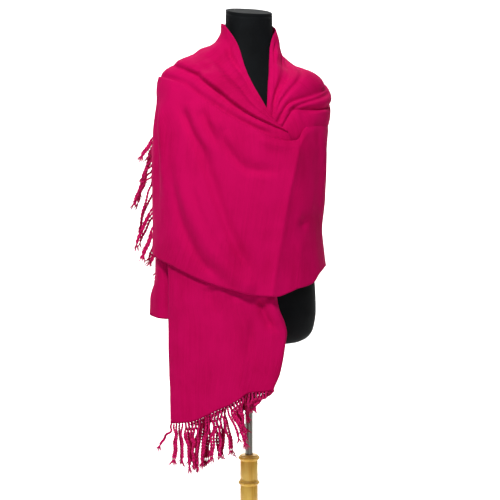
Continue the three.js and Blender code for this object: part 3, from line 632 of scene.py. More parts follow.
def fold_blend(here, there, share):
    """From one line's lift to the next one's: round on the ridge, sharp in the valley."""
    from_ridge = np.where(here > there, share, 1 - share)
    return np.minimum(here, there) + np.abs(here - there) * (1 - from_ridge**VALLEY_POWER)


def fan_places(lines, lift_at, at, rows, side, u, v):
    """Around, height and lift for points u along the lines and v across them."""
    folds = len(lines) - 1
    values = []
    for k in range(len(lines)):
        places = {**lines[k], "seam": seam_place(k / folds * rows, side)}
        stops = table("at around z lift", *((at[name], *places[name], lift_at(k, name)) for name in at))
        values.append([read(stops, "at", u, column) for column in ("around", "z", "lift")])
    values = np.array(values)
    line = np.minimum(folds - 1, np.floor(v * folds + TINY).astype(int))
    share = v * folds - line
    point = np.arange(len(u))
    here, there = values[line, :, point], values[line + 1, :, point]
    around = mix(here[:, 0], there[:, 0], share)
    z = mix(here[:, 1], there[:, 1], share)
    lift = fold_blend(here[:, 2], there[:, 2], share)
    on_seam = u == at["seam"]
    shared_around, shared_z = seam_place(v * rows, side)
    return np.where(on_seam, shared_around, around), np.where(on_seam, shared_z, z), lift


def collar_places(u, v):
    around, z, lift = fan_places(COLLAR_LINES, collar_lift, COLLAR_STATIONS, COLLAR_ROWS, "left", u, v)
    lift = lift + fold_rise(COLLAR_FOLDS, around, z) * ease(u / SEAM_EASE["left"]) + wrinkles(around, z)
    return lifted(around, z, CLOTH + kept_off(lift))


def gather_places(u, v):
    around, z, lift = fan_places(GATHER_LINES, gather_lift, GATHER_STATIONS, SHOULDER_ROWS, "right", u, v)
    folds = fold_rise(GATHER_FOLDS, around, z) * ease((1 - u) / SEAM_EASE["right"])
    return lifted(around, z, CLOTH + kept_off(lift + folds + wrinkles(around, z)))


def seam_lift(row, side):
    """How high the folds of the collar or the gather stand where they run on over the back."""
    lift_at, rows = (collar_lift, COLLAR_ROWS) if side == "left" else (gather_lift, SHOULDER_ROWS)
    folds = len(COLLAR_LINES if side == "left" else GATHER_LINES) - 1
    heights = np.array([lift_at(k, "seam") for k in range(folds + 1)], float)
    place = np.clip(row / rows, 0, 1) * folds
    line = np.minimum(folds - 1, np.floor(place + TINY).astype(int))
    return fold_blend(heights[line], heights[line + 1], place - line) * (row <= rows)


# %% [markdown]
# ## The cape over the back
#
# Behind, the whole width of the cloth hangs from both shoulders and the nape. Nothing holds its hem, so
# it falls in soft upright folds. At the viewer's left it comes forward under the wrap and its margin
# turns in.

# %% Cape over the back
CAPE_COLUMNS = 130
CAPE_HEM = table(
    "around z", (109, 902), (130, 893), (155, 868), (180, 842), (205, 822), (230, 808), (264, 800), (297, 789)
)
CAPE_LEFT_EDGE = table(
    "z around", (1320, 266), (1280, 272), (1232, 278), (1100, 283), (950, 290), (880, 296), (789, 297)
)
MARGIN_START = 287
MARGIN_END = 297
MARGIN_TOP_Z = 960
MARGIN_EASE = 70
MARGIN_DEPTH = 26
NAPE_ROWS = 8
CAPE_EASE = (0.12, 0.15)
RUN_ON = 70
CAPE_FOLDS = fold_rows(
    ([(146, 1330), (136, 1127), (130, 880)], 19, 9, 0.3, (0.4, 0)),
    ([(152, 1300), (147, 1103), (144, 870)], 17, -8, 0, (0.4, 0)),
    ([(166, 1350), (161, 1118), (157, 860)], 19, 10, -0.3, (0.5, 0)),
    ([(174, 1290), (172, 1084), (171, 845)], 17, -9, 0, (0.4, 0)),
    ([(186, 1350), (186.5, 1106), (186, 835)], 19, 10, 0.3, (0.5, 0)),
    ([(196, 1290), (199, 1072), (201, 820)], 17, -8, 0, (0.4, 0)),
    ([(204, 1330), (211, 1090), (215, 810)], 19, 10, -0.3, (0.4, 0)),
    ([(226, 1180), (229, 1005), (231, 800)], 17, -8, 0, (0.4, 0)),
    ([(246, 880), (247, 844), (248, 795)], 22, 8, 0, (0.5, 0)),
    ([(274, 890), (275, 840), (275, 790)], 30, 12, 0, (0.6, 0)),
    ([(262, 890), (262, 848), (262, 790)], 16, -7, 0, (0.5, 0)),
)


def cape_places(u, v):
    rows = SHOULDER_ROWS + WRAP_ROWS
    row = np.round(v * rows)
    low = np.clip((row - SHOULDER_ROWS) / WRAP_ROWS, 0, 1)
    _, seam_z = seam_place(row, "right")

    def height(hem):
        return np.where(row <= SHOULDER_ROWS, seam_z, mix(SEAM_END_Z, hem, low))

    right = np.where(row <= SHOULDER_ROWS, seam_place(row, "right")[0], WRAP_SEAM)
    on_left = row <= COLLAR_ROWS
    left_z = height(CAPE_HEM["z"][-1])
    left = np.where(on_left, 360 + seam_place(row, "left")[0], read(CAPE_LEFT_EDGE, "z", left_z, "around"))
    around = mix(right, left, u)
    nape = (NAPE_Z - SHOULDER_LINES["z"][0]) * np.sin(np.pi * u) * np.clip(1 - row / NAPE_ROWS, 0, 1)
    z = height(read(CAPE_HEM, "around", around, "z")) + nape
    margin = ease((around - MARGIN_START) / (MARGIN_END - MARGIN_START))
    margin *= ease((MARGIN_TOP_Z - z) / MARGIN_EASE)
    fade = ease(u / CAPE_EASE[0]) * ease(row / COLLAR_ROWS)
    fade *= np.where(on_left, ease((1 - u) / CAPE_EASE[1]), 1.0)
    lift = fade * fold_rise(CAPE_FOLDS, around, z)
    reach = drape_reach(around, z) * math.pi / 180
    lift += seam_lift(row, "left") * ease(1 - (left - around) * reach / RUN_ON) * on_left
    lift += seam_lift(row, "right") * ease(1 - (around - right) * reach / RUN_ON) * (row <= SHOULDER_ROWS)
    return lifted(around, z, CLOTH + kept_off(lift + wrinkles(around, z)) - margin * MARGIN_DEPTH)


# %% [markdown]
# ## The wrap across the front
#
# The free end is drawn tight across the chest and round the arm, over everything else. Diagonal folds
# fall from the viewer's left shoulder, and a crease pressed in by storage runs down at the right. A
# column of the grid follows that crease, so that it stays crisp.

# %% Wrap across the front
WRAP_COLUMNS = 190
WRAP_RIBS = table(
    "around top hem lift",
    (-150, 1326, 948, 9),
    (-118, 1331, 945, 7),
    (-86, 1336, 938, 8),
    (-60, 1313, 918, 9),
    (-36, 1274, 885, 9),
    (-12, 1236, 863, 10),
    (8, 1210, 852, 12),
    (22, 1195, 851, 14),
    (32, 1190, 860, 14),
    (38, 1193, 867, 14),
    (44, 1215, 870, 12),
    (52, 1228, 877, 9.5),
    (60, 1232, 896, 7.5),
    (75, 1234, 908, 5),
    (92, 1232, 908, 2),
    (109, 1232, 902, 0),
)
WRAP_END = table(
    "z around", (1326, -150), (1280, -128), (1227, -105), (1100, -102), (1010, -104), (948, -112)
)
CREASE = table("z around", (1190, 38), (1155, 35), (1031, 26), (955, 22), (855, 18))
CREASE_SHARE = 0.61
WRAP_FOLDS = fold_rows(
    ([(38, 1190), (26.5, 1030), (18, 852)], 34, 7, 0, (0.1, 0), True),
    ([(-59, 1282), (-42, 1199), (-32, 1127), (-18, 1007), (-7, 942), (8.5, 887)], 13, -8, 0.25, (0.12, 0.2)),
    ([(-53, 1171), (-48, 1083), (-38, 1007), (-25, 941), (-7, 887), (9, 860)], 20, 8, -0.2, (0.3, 0.1)),
    ([(-42, 1127), (-34, 1050), (-22, 970), (-3, 909)], 8, 3, 0, (0.3, 0.3)),
    ([(-57, 1149), (-50, 1017), (-36, 925), (-18, 882)], 12, -5, 0.2, (0.3, 0.2)),
    ([(-52, 1274), (-38, 1204), (-21, 1140)], 14, 6, 0.2, (0.1, 0.5)),
    ([(-40, 1256), (-31, 1211), (-21, 1162)], 10, -4.5, 0, (0.1, 0.5)),
    ([(-34, 1249), (-16, 1192), (3, 1120)], 16, 6, 0.2, (0.15, 0.5)),
    ([(-23, 1225), (-17, 1177), (1, 1127), (20, 1123), (31, 1138)], 12, -5.5, 0.2, (0.1, 0.35)),
    ([(5, 1196), (20, 1181), (34, 1176)], 10, 3, 0, (0.3, 0.3)),
    ([(36, 995), (43, 1010), (50, 1027)], 13, -4, 0, (0.5, 0.5)),
    ([(60, 1222), (66, 1130), (62, 1000)], 20, 4, 0.2, (0.2, 0.5)),
    ([(78, 1215), (84, 1100), (80, 960)], 18, -4, 0, (0.2, 0.4)),
    ([(-84, 1308), (-72, 1149), (-70, 992)], 15, -6, -0.2, (0.1, 0.4)),
    ([(-73, 1290), (-64, 1160), (-62, 1024)], 12, 5, 0, (0.2, 0.5)),
    ([(-104, 1205), (-106, 1145), (-105, 1075)], 28, 13, 0, (0.2, 0.2)),
)
FOLD_DEPTH = 1.3
HUG_DEPTH = 16
HUG_SHARE = 0.14
HUG_SHARE_RIGHT = 0.35
HUG_CHANGE = (24, 15)
SEAM_CALM = 25


def wrap_places(u, v):
    end = read(WRAP_END, "z", mix(WRAP_RIBS["top"][0], WRAP_RIBS["hem"][0], v), "around")
    crease = read(CREASE, "z", mix(CREASE["z"][0], CREASE["z"][-1], v), "around")
    beyond = (u - CREASE_SHARE) / (1 - CREASE_SHARE)
    around = np.where(u < CREASE_SHARE, mix(end, crease, u / CREASE_SHARE), mix(crease, WRAP_SEAM, beyond))
    top, hem, lift = (read(WRAP_RIBS, "around", around, column) for column in ("top", "hem", "lift"))
    z = mix(top, hem, v)
    hug_share = mix(HUG_SHARE_RIGHT, HUG_SHARE, ease((HUG_CHANGE[0] - around) / HUG_CHANGE[1]))
    hug = (1 - ease((top - z) / HUG_DEPTH)) * hug_share
    fade = ease((WRAP_SEAM - around) / SEAM_CALM)
    folds = FOLD_DEPTH * fold_rise(WRAP_FOLDS, around, z)
    return lifted(around, z, CLOTH + kept_off(lift * (1 - hug) + fade * folds + wrinkles(around, z)))


# %% [markdown]
# ## Weld the stretches and give them thickness
#
# The four grids share their edge points, so removing doubles makes one surface. A thin wall then grows
# inwards, as the cloth is little more than a millimetre thick.

# %% Shawl round the shoulders
WALL_MM = 1.4
GATHER_COLUMNS = 62
COLLAR_COLUMNS = 78


def give_thickness(piece):
    wall = piece.modifiers.new("cloth thickness", "SOLIDIFY")
    wall.thickness = WALL_MM * MM
    wall.offset = -1
    wall.use_even_offset = False
    wall.use_rim = True


def shawl_round_the_shoulders():
    mesh = bmesh.new()
    stretch_of_cloth(mesh, CAPE_COLUMNS, SHOULDER_ROWS + WRAP_ROWS, cape_places, 620, 640)
    stretch_of_cloth(mesh, WRAP_COLUMNS, WRAP_ROWS, wrap_places, 820, 400)
    stretch_of_cloth(mesh, COLLAR_COLUMNS, COLLAR_ROWS, collar_places, 340, 190)
    stretch_of_cloth(mesh, GATHER_COLUMNS, SHOULDER_ROWS, gather_places, 260, 230)
    before = len(mesh.verts)
    bmesh.ops.remove_doubles(mesh, verts=mesh.verts, dist=0.3 * MM)
    print("points welded:", before - len(mesh.verts))
    return new_piece("shawl_body", mesh, [shawl_cloth])


shawl_body = shawl_round_the_shoulders()
give_thickness(shawl_body)
count_faces(shawl_body)

# %% [markdown]
# ## The hanging end
#
# Below the wrap the other end of the cloth hangs down the front, folded in half along its length. The
# fold at the right is rounded, and the back half hides behind the front one. A single grid goes round the
# fold, so that the edge is as soft as on the real cloth.

# %% Hanging end, folded in half
HANGING_TOP = table(
    "around z lift", (-86, 1306, 2), (-60, 1283, 2), (-37, 1243, 2), (-10, 1205, 4), (34, 1180, 7)
)
HANGING_SIDES = table(
    "z left right",
    (1290, -65, 30),
    (1180, -65, 30),
    (1000, -65, 24),
    (900, -62, 21),
    (860, -61.5, 20),
    (823, -61.5, 22),
    (791, -61.5, 27),
    (766, -61.5, 29),
    (746, -61.5, 28),
    (710, -61.5, 26),
    (674, -61, 23),
    (637, -60, 18),
    (560, -59.5, 18),
)
HANGING_HEM = table(
    "around z", (-65, 560), (-48, 568), (-37, 581), (-27, 595), (-15, 608), (-5, 623), (3, 635), (24, 640)
)
HANGING_FOLDS = fold_rows(
    ([(-50, 900), (-50, 745), (-52, 560)], 30, 6, 0, (0.2, 0)),
    ([(-33, 870), (-28, 830), (-22, 794)], 15, -6, 0.2, (0.1, 0.5)),
    ([(9, 845), (14, 805), (24, 765)], 11, -10, -0.2, (0.1, 0.4)),
    ([(17, 850), (22, 812), (29, 770)], 10, 5, 0, (0.1, 0.4)),
    ([(-12, 850), (-4, 800), (2, 740)], 15, 4, 0, (0.2, 0.5)),
    ([(1, 800), (0, 755), (-3, 695)], 13, -4, 0, (0.4, 0.4)),
    ([(-6, 740), (-5.5, 690), (-8, 620)], 16, 3.5, 0, (0.4, 0)),
    ([(-34, 760), (-36, 680), (-36, 575)], 15, -3, 0, (0.4, 0)),
)
HANGING_LEFT = -65
HANGING_RIGHT = 24
HANGING_TOP_RIGHT = 30
HANGING_LIFT = 2.5
HANGING_GAP = 0.7
HANGING_BACK_TOP = 880
HANGING_BACK_LEFT = -54
FOLD_RADIUS = 11
FOLD_START = 0.52
FOLD_END = 0.68
FOLD_HASTE = 1.4
UNDER_WRAP_Z = 830
UNDER_WRAP_EASE = 60
OWN_FOLDS_Z = 910
OWN_FOLDS_EASE = 50
TOP_EASE = 80
HANGING_COLUMNS = 130
HANGING_ROWS = 120


def hanging_places(u, v):
    turn = np.clip((u - FOLD_START) / (FOLD_END - FOLD_START), 0, 1)
    front_share = np.minimum(1, u / FOLD_START)
    back_share = np.maximum(0, (u - FOLD_END) / (1 - FOLD_END))
    nominal = mix(HANGING_LEFT, HANGING_RIGHT, front_share) - back_share * (HANGING_RIGHT - HANGING_BACK_LEFT)
    top_around = mix(HANGING_LEFT, HANGING_TOP_RIGHT, front_share)
    front = read(HANGING_TOP, "around", top_around, "z") - HANGING_GAP
    top = mix(front, HANGING_BACK_TOP, ease(turn * FOLD_HASTE))
    z = mix(top, read(HANGING_HEM, "around", nominal, "z"), v)
    left, right = (read(HANGING_SIDES, "z", z, side) for side in ("left", "right"))
    flat = mix(left, right, front_share) - back_share * (right - HANGING_BACK_LEFT)
    around = flat + FOLD_RADIUS / MM_PER_DEGREE * np.sin(np.pi * turn)
    under = ease((front - z) / UNDER_WRAP_EASE) * ease((z - UNDER_WRAP_Z) / UNDER_WRAP_EASE)
    own = ease((OWN_FOLDS_Z - z) / OWN_FOLDS_EASE) * (1 - back_share) * ease(1 - turn)
    base = mix(read(HANGING_TOP, "around", around, "lift"), HANGING_LIFT, ease((front - z) / TOP_EASE))
    folds = under * fold_rise(WRAP_FOLDS, around, z) * (1 - turn) + own * fold_rise(HANGING_FOLDS, around, z)
    folds = folds + wrinkles(around, z, WRINKLE_HEIGHT * (1 - ease(turn)))
    return lifted(around, z, CLOTH + base + folds - FOLD_RADIUS * (1 - np.cos(np.pi * turn)))


def folded_end():
    mesh = bmesh.new()
    stretch_of_cloth(mesh, HANGING_COLUMNS, HANGING_ROWS, hanging_places, 640, 640)
    return new_piece("hanging_end", mesh, [shawl_cloth])


hanging_end = folded_end()
give_thickness(hanging_end)
count_faces(hanging_end)

# %% [markdown]
# ## The twisted fringe
#
# Each strand of the fringe is two plies of yarn twisted round each other, with a small knot and a frayed
# tuft at its tip. A strand is made of plain tubes: a grid is rolled up along a curved line, and its long
# edges are welded. Worn fringe never hangs in a neat row. Its strands cling together in clumps, so each
# clump below names the roots that belong to it and the place where their tips meet.

# %% Strands of yarn
STRAND_TURNS = 7
PLY_RADIUS = 1.65
PLY_OFFSET = 1.2
PLY_STEPS = 52
PLY_SIDES = 5
PLY_LENGTH_SHARE = 0.88
KNOT_RADIUS = 3.2
TUFT_HAIRS = 8
TUFT_LENGTH = 22
TUFT_SPLAY = 0.46
KNOT_OUTLINE = ((-2.8, 0.4), (-1.5, 0.85), (0, 1.0), (1.5, 0.85), (2.6, 0.3))
HAIR_OUTLINE = ((0.0, 1.2), (0.35, 1.15), (0.7, 0.9), (1.0, 0.4))
LOOSENING = (0.95, 1.35)
KINKS = (3.4, 2.0, 1.5)


def frames_along(line):
    """Heading, side and front at each point of a line. The side is carried along, so that nothing twists."""
    heading = np.gradient(line, axis=0)
    heading /= np.linalg.norm(heading, axis=1, keepdims=True)
    side = np.empty_like(heading)
    carried = np.eye(3)[np.argmin(np.abs(heading[0]))]
    for k, way in enumerate(heading):
        carried = carried - (carried @ way) * way
        carried /= np.linalg.norm(carried)
        side[k] = carried
    return heading, side, np.cross(heading, side)


def rolled_tube(mesh, line, radii, sides, slot):
    """A closed tube round a line of points, in millimetres."""
    _, side, front = frames_along(line)
    steps = len(line) - 1
    made = bmesh.ops.create_grid(mesh, x_segments=sides, y_segments=steps, size=0.5)
    corners = made["verts"]
    for corner in corners:
        k = round((corner.co.y + 0.5) * steps)
        angle = 2 * math.pi * (corner.co.x + 0.5)
        corner.co = (line[k] + radii[k] * (math.cos(angle) * side[k] + math.sin(angle) * front[k])) * MM
    for face in {face for corner in corners for face in corner.link_faces}:
        face.material_index = slot
    bmesh.ops.remove_doubles(mesh, verts=corners, dist=0.02 * MM)


def uneven(index, salt):
    """A number from -1 to 1 that looks random but is the same on every run."""
    return math.sin(index * 12.9898 + salt * 78.233)


def strand_line(root, leave, tip, index):
    """A strand that leaves the cloth square to its edge, sags and ends nearly upright, with a few kinks."""
    t = np.linspace(0, 1, PLY_STEPS + 1)[:, None]
    length = np.linalg.norm(tip - root)
    way = (tip - root) / length
    arrive = 0.5 * way + np.array([0.12 * uneven(index, 8), 0, -0.5])
    second = root + leave * length * 0.2 + way * length * 0.12
    third = tip - arrive * length * 0.4
    line = (1 - t) ** 3 * root + 3 * (1 - t) ** 2 * t * second + 3 * (1 - t) * t**2 * third + t**3 * tip
    sideways = np.cross(way, (0.1, 1.0, 0.0))
    sideways /= np.linalg.norm(sideways)
    outward = np.cross(sideways, way)
    bends = ((sideways, 3, 2), (sideways, 4, 5), (outward, 6, 3))
    for size, (towards, salt, waves) in zip(KINKS, bends):
        line = line + towards * size * uneven(index, salt) * np.sin(waves * np.pi * t)
    return line


def twisted_strand(mesh, root, leave, tip, index, slot):
    line = strand_line(root, leave, tip, index)
    body = line[: round(PLY_STEPS * PLY_LENGTH_SHARE) + 1]
    heading, side, front = frames_along(body)
    angle = np.linspace(0, 2 * math.pi * STRAND_TURNS, len(body)) + index
    loose = np.linspace(*LOOSENING, len(body))[:, None]
    for ply in (0.0, math.pi):
        offset = np.cos(angle + ply)[:, None] * side + np.sin(angle + ply)[:, None] * front
        rolled_tube(mesh, body + PLY_OFFSET * loose * offset, PLY_RADIUS * loose[:, 0], PLY_SIDES, slot)
    knot = body[-1]
    down = heading[-1]
    along, radii = np.transpose(KNOT_OUTLINE)
    rolled_tube(mesh, knot + along[:, None] * down, radii * KNOT_RADIUS, 6, slot)
    along, radii = np.transpose(HAIR_OUTLINE)
    along = along[:, None]
    for hair in range(TUFT_HAIRS):
        turn = 2 * math.pi * hair / TUFT_HAIRS + index
        splay = TUFT_SPLAY * (0.55 + 0.45 * uneven(index + hair, 11))
        out = (math.cos(turn) * side[-1] + math.sin(turn) * front[-1]) * splay
        reach = TUFT_LENGTH * (0.78 + 0.22 * uneven(index + 3 * hair, 12))
        rolled_tube(mesh, knot + 1.2 * down + (down + out * (0.5 + along)) * reach * along, radii, 3, slot)


FINE = np.linspace(0, 1, 240)
FRINGE_LENGTH = 100
EDGE_INSET = 4
JUST_IN_HEM = 0.985
JUST_IN_SIDE = 0.006
FRONT_STRANDS = 62
SIDE_STRANDS = 37


def edge_samples(place, u, v, back_u, back_v, count):
    """Points evenly along an edge of a stretch, and the way the cloth runs out of it."""
    edge = place(u, v)
    leave = edge - place(back_u, back_v)
    leave /= np.linalg.norm(leave, axis=1, keepdims=True)
    run = np.concatenate([[0], np.cumsum(np.linalg.norm(np.diff(edge, axis=0), axis=1))])
    goals = np.linspace(EDGE_INSET, run[-1] - EDGE_INSET, count)
    print("edge of", round(float(run[-1])), "mm carries", count, "strands")
    return [np.transpose([np.interp(goals, run, values[:, k]) for k in range(3)]) for values in (edge, leave)]


def first_clump(clumps, fits):
    row = int(np.argmax(fits))
    return {name: column[row] for name, column in clumps.items()}


def hang_strands(name, roots, leave, plan):
    """Strands from all roots. plan(index, root) says where one ends, how it scatters and if it takes the
    painted-shade yarn.
    """
    mesh = bmesh.new()
    for index, (root, way) in enumerate(zip(roots, leave)):
        own, meeting, pull, spread, shaded = plan(index, root)
        scatter = TIP_SCATTER * np.array([spread * uneven(index, 9), uneven(index, 10), 0])
        tip = mix(own, meeting, pull) + scatter
        twisted_strand(mesh, root + way * ROOT_GAP, way, tip, index, int(shaded))
    piece = new_piece(name, mesh, [yarn, deep_tone_and_shade_yarn])
    count_faces(piece)
    return piece


ROOT_GAP = 0.6
TIP_SCATTER = 5.5
LONER_PULL = 0.55
SIDE_FALL = (-0.3, 0.24, -0.92)

# Clumps of the hanging end's front: the x that their roots reach, and where the tips meet (x, depth, z).
FRONT_CLUMPS = table(
    "to_x tip_x deeper tip_z pull",
    (-168, -200, 4, 500, 1.0),
    (-156, -174, 0, 474, 0.75),
    (-142, -160, -4, 480, 0.7),
    (-128, -139, 3, 458, 0.88),
    (-114, -123, -4, 470, 0.8),
    (-102, -109, 3, 460, 0.8),
    (-88, -97, 0, 468, 0.85),
    (-76, -78, -3, 480, 0.85),
    (-64, -63, 2, 488, 0.85),
    (-54, -40, 0, 496, 0.8),
    (-40, -28, -3, 529, 0.9),
    (-26, -14, 2, 519, 0.9),
    (-8, -6, 0, 542, 0.9),
    (8, 3, 8, 590, 0.9),
    (24, 6, 16, 602, 0.9),
    (31, 39, 2, 570, 1.0),
    (44, 12, 12, 600, 0.95),
    (90, 10, 18, 611, 0.95),
)
# Clumps of its back layer, which hangs in shade behind the gaps of the front; its strands take the darker
# yarn as painted shade.
BACK_CLUMPS = table(
    "to_x tip_x deeper tip_z pull",
    (-150, -163, 0, 482, 0.7),
    (-123, -131, 2, 470, 0.85),
    (-104, -113, 0, 466, 0.85),
    (-80, -94, 2, 472, 0.85),
    (-45, -72, 0, 488, 0.8),
    (-5, -10, 0, 556, 0.85),
    (20, 1, -4, 596, 0.92),
    (95, 3, -2, 612, 0.97),
)


def fringe_below():
    hem, just_in = FINE * 0 + 1, FINE * 0 + JUST_IN_HEM
    roots, leave = edge_samples(hanging_places, FINE, hem, FINE, just_in, FRONT_STRANDS)
    turning = int(np.argmax(roots[:, 0]))

    def plan(index, root):
        clumps = FRONT_CLUMPS if index <= turning else BACK_CLUMPS
        clump = first_clump(clumps, root[0] < clumps["to_x"])
        length = FRINGE_LENGTH * (1.0 + 0.08 * uneven(index, 5))
        own = root + np.array([3 * uneven(index, 1), 3 * uneven(index, 2), -length])
        meeting = np.array([clump["tip_x"], root[1] + clump["deeper"], clump["tip_z"] + 6 * uneven(index, 7)])
        # The back layer's strands take the darker yarn as painted shade; every seventh strand in front takes
        # it too.
        return own, meeting, clump["pull"], 1.2, index > turning or index % 7 == 3

    return hang_strands("fringe_of_hanging_end", roots, leave, plan)


# Clumps of the wrap's end: the height that their roots reach, and where the tips meet.
SIDE_CLUMPS = table(
    "to_z tip_x tip_y tip_z pull",
    (1240, -226, 132, 1160, 0.4),
    (1212, -254, 88, 1150, 0.9),
    (1180, -262, 96, 1096, 0.75),
    (1108, -275, 96, 1046, 0.93),
    (1078, -252, 84, 980, 0.88),
    (1040, -263, 86, 932, 0.92),
    (1010, -251, 76, 908, 0.93),
    (980, -240, 92, 902, 0.8),
    (900, -222, 96, 868, 0.7),
)


def fringe_behind():
    def plan(index, root):
        clump = first_clump(SIDE_CLUMPS, root[2] > SIDE_CLUMPS["to_z"])
        loner = index % 3 == 1
        length = FRINGE_LENGTH * (1.0 + 0.06 * uneven(index, 5))
        own = root + length * np.array(SIDE_FALL)
        meeting = np.array([clump["tip_x"], clump["tip_y"], clump["tip_z"] + 4 * uneven(index, 7)])
        # Loose strands take the darker yarn as well.
        return own, meeting, clump["pull"] * (LONER_PULL if loner else 1.0), 1.0, loner

    roots, leave = edge_samples(wrap_places, FINE * 0, FINE, FINE * 0 + JUST_IN_SIDE, FINE, SIDE_STRANDS)
    return hang_strands("fringe_of_wrap_end", roots, leave, plan)


fringe_a = fringe_below()
fringe_b = fringe_behind()

# %% [markdown]
# ## The dress form
#
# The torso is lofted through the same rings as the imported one, only finer, so that its outline is round.
# Its neck ends in a sloping cut with a separate padded cap.

# %% Torso and neck cap
FORM_COLUMNS = 96
FORM_ROWS = 120
NECK_SLOPE = 0.23
CAP_THICK = 7
CAP_INSET = 3.0
CAP_ROWS = 10
SEAM = 0.3


def neck_slope(points):
    turn = math.radians(FORM_TURN)
    return NECK_SLOPE * (points[:, 1] * math.cos(turn) - points[:, 0] * math.sin(turn))


def closed_rings(name, place, columns, rows, materials):
    """A grid rolled into rings and shut at both ends. v goes from the lowest ring to the highest."""
    mesh = bmesh.new()
    made = bmesh.ops.create_grid(mesh, x_segments=columns, y_segments=rows, size=0.5)
    flat = np.array([corner.co[:2] for corner in made["verts"]]) + 0.5
    for corner, point in zip(made["verts"], place(flat[:, 0], flat[:, 1]) * MM):
        corner.co = point
    bmesh.ops.remove_doubles(mesh, verts=mesh.verts, dist=0.02 * MM)
    bmesh.ops.holes_fill(mesh, edges=[edge for edge in mesh.edges if edge.is_boundary], sides=0)
    bmesh.ops.recalc_face_normals(mesh, faces=mesh.faces)
    return new_piece(name, mesh, materials)


def torso_places(u, v):
    around = 360 * u
    z = mix(FORM_BASE_Z, NECK_TOP_Z - CAP_THICK - SEAM, v)
    points = at_reach(form_reach(around, z), around, z)
    points[:, 2] += neck_slope(points) * ease((v - 0.9) / 0.1)
    return points


def cap_places(u, v):
    around = 360 * u
    level = mix(NECK_TOP_Z - CAP_THICK, NECK_TOP_Z, ease(v * 1.2))
    inset = CAP_INSET * ease((v - 0.55) / 0.45)
    points = at_reach(form_reach(around, level) - inset, around, level)
    points[:, 2] += neck_slope(points)
    return points


torso = closed_rings("torso_in_jersey", torso_places, FORM_COLUMNS, FORM_ROWS, [jersey])
neck_cap = closed_rings("neck_cap", cap_places, FORM_COLUMNS, CAP_ROWS, [jersey])
count_faces(torso)

# %% [markdown]
# ## The stand
#
# A lathe makes round wood, and Blender's spin does the same: it turns a half outline round the axis. The
# outline of the post repeats one turned ring, with rounded beads and fine grooves beside each.

# %% Turned post, base and steel pole
POLE_RADIUS = 9
POST_TOP_Z = 468
POST_RADIUS = 20.5
RING_RADIUS = 25
RING_PITCH = 58
BASE_RADIUS = 170
BASE_THICK = 26
CRISP_ANGLE = math.radians(38)


def spun(name, profile, materials, steps=64):
    """Turn a half outline of (radius, height) round the axis."""
    mesh = bmesh.new()
    points = [mesh.verts.new((radius * MM, 0, z * MM)) for radius, z in profile]
    edges = [mesh.edges.new(pair) for pair in zip(points, points[1:])]
    spin = dict(cent=(0, 0, 0), axis=(0, 0, 1), angle=2 * math.pi, steps=steps, use_merge=True)
    bmesh.ops.spin(mesh, geom=points + edges, **spin)
    bmesh.ops.remove_doubles(mesh, verts=mesh.verts, dist=0.01 * MM)
    bmesh.ops.recalc_face_normals(mesh, faces=mesh.faces)
    for edge in mesh.edges:
        edge.smooth = edge.calc_face_angle(0.0) < CRISP_ANGLE
    return new_piece(name, mesh, materials)


def rim(radius, z, depth, half):
    """A rounded edge of the outline, from below it to above it."""
    turn = np.linspace(-math.pi / 2, math.pi / 2, 9)
    return [(radius - depth + depth * math.cos(angle), z + half * math.sin(angle)) for angle in turn]


def groove(z):
    return [(POST_RADIUS, z - 1), (POST_RADIUS - 0.6, z), (POST_RADIUS, z + 1)]


def post_outline():
    foot = BASE_THICK + SEAM
    lowest_ring = ((7.4, 0), (8, 0.8), (8, 5), (6.5, 7))
    outline = [(0, foot), *((RING_RADIUS + out, foot + up) for out, up in lowest_ring)]
    outline += [(POST_RADIUS + 2, foot + 12), (POST_RADIUS, foot + 16)]
    z = POST_TOP_Z - 7 - 7 * RING_PITCH
    while z < POST_TOP_Z - 20:
        outline += groove(z - 7) + rim(RING_RADIUS, z, 2.4, 3.0) + groove(z + 7)
        z += RING_PITCH
    outline += groove(POST_TOP_Z - 14) + rim(RING_RADIUS, POST_TOP_Z - 7, 3, 4)
    return outline + [(RING_RADIUS - 4, POST_TOP_Z - 1.2), (RING_RADIUS - 5, POST_TOP_Z), (0, POST_TOP_Z)]


def base_outline():
    top = [(BASE_RADIUS - 12, 19), (BASE_RADIUS - 26, 23.5), (BASE_RADIUS - 40, BASE_THICK), (0, BASE_THICK)]
    return [(0, 0), *rim(BASE_RADIUS, 9, 7, 9), *top]


post = spun("turned_post", post_outline(), [wood])
base = spun("round_base", base_outline(), [wood], steps=96)
pole_low, pole_high = POST_TOP_Z + SEAM, FORM_BASE_Z - SEAM
pole_outline = [(0, pole_low), (POLE_RADIUS, pole_low), (POLE_RADIUS, pole_high), (0, pole_high)]
pole = spun("steel_pole", pole_outline, [steel], steps=48)
for turned_piece in (post, base, pole):
    count_faces(turned_piece)

# %% [markdown]
# ## Tell the frame what each piece is
#
# Nothing on a dress form moves, so every piece rides on the one body. Each piece names the imported nodes
# that it stands for, and these are hidden.

# %% Ride and replace
SHAWL_NODES = ["shawl_cape_back", "shawl_wrap_front", "shawl_collar", "shawl_shoulder_gather"]
ROLES = [
    (shawl_body, SHAWL_NODES, "shawl_cloth"),
    (hanging_end, ["shawl_hanging_end"], "shawl_cloth"),
    (fringe_a, ["fringe_hanging_end"], "fringe_yarn"),
    (fringe_b, ["fringe_wrap_end"], "fringe_yarn"),
    (torso, ["form_torso"], "form_jersey"),
    (neck_cap, ["form_neck_cap"], "form_jersey"),
    (pole, ["stand_pole"], "pole_steel"),
    (post, ["stand_post"], "stand_wood"),
    (base, ["stand_base"], "stand_wood"),
]
for piece, nodes_replaced, slot_name in ROLES:
    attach(piece, "root")
    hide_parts(*nodes_replaced)

# %% [markdown]
# ## Floor and light
#
# The photograph has a plain white ground and soft light from the front, a little from above and from the
# left, so that the roll of the collar and the folds cast shade. A white floor rises behind into a wall.
# Lights of its own make that wall white, and a plain view transform keeps the cloth's deep colour from
# washing out.

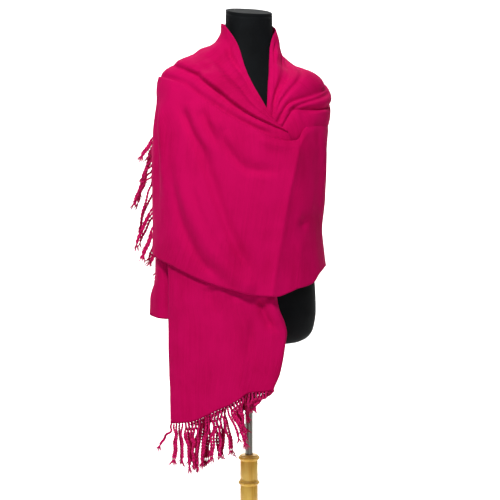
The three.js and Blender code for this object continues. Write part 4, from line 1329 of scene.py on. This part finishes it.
# %% White ground
FLOOR_HALF = 9.0
SWEEP_START = 4.0
SWEEP_RADIUS = 2.5
WALL_TOP = 8.0


def white_ground():
    mesh = bmesh.new()
    outline = [(-FLOOR_HALF, 0.0)]
    for angle in np.linspace(0, math.pi / 2, 12):
        outline.append((SWEEP_START + SWEEP_RADIUS * math.sin(angle), SWEEP_RADIUS * (1 - math.cos(angle))))
    outline.append((SWEEP_START + SWEEP_RADIUS, WALL_TOP))
    line = [mesh.verts.new((-FLOOR_HALF, y, z)) for y, z in outline]
    edges = [mesh.edges.new(pair) for pair in zip(line, line[1:])]
    made = bmesh.ops.extrude_edge_only(mesh, edges=edges)
    moved = [part for part in made["geom"] if isinstance(part, bmesh.types.BMVert)]
    bmesh.ops.translate(mesh, verts=moved, vec=(2 * FLOOR_HALF, 0, 0))
    bmesh.ops.recalc_face_normals(mesh, faces=mesh.faces)
    paper = Look("white_paper", Base_Color=(0.93, 0.93, 0.93, 1), Roughness=0.9)
    return new_piece("white_ground", mesh, [paper.material])


ground = white_ground()


# %% Lights
def area_light(name, place, aim, size, power):
    data = bpy.data.lights.new(name, "AREA")
    data.shape = "RECTANGLE"
    data.size, data.size_y = size
    data.energy = power
    light = bpy.data.objects.new(name, data)
    bpy.context.scene.collection.objects.link(light)
    light.location = place
    light.rotation_euler = (Vector(aim) - Vector(place)).to_track_quat("-Z", "Y").to_euler()


area_light("key", (-0.55, -1.95, 3.3), (0, 0, 1.15), (0.5, 0.5), 82)
area_light("fill", (0.5, -3.6, 1.5), (0, 0, 1.0), (1.4, 1.4), 11)
area_light("wall", (0.0, 2.4, 4.2), (0, 5.8, 0.6), (5.0, 1.4), 330)
area_light("floor", (0.0, 2.4, 3.6), (0, 3.0, 0.0), (5.0, 1.2), 120)

world = bpy.data.worlds.new("soft_white")
bpy.context.scene.world = world
world.use_nodes = True
sky = world.node_tree.nodes["Background"].inputs
sky["Color"].default_value = (1, 1, 1, 1)
sky["Strength"].default_value = 0.08
bpy.context.scene.view_settings.view_transform = "Standard"

bpy.context.view_layer.update()
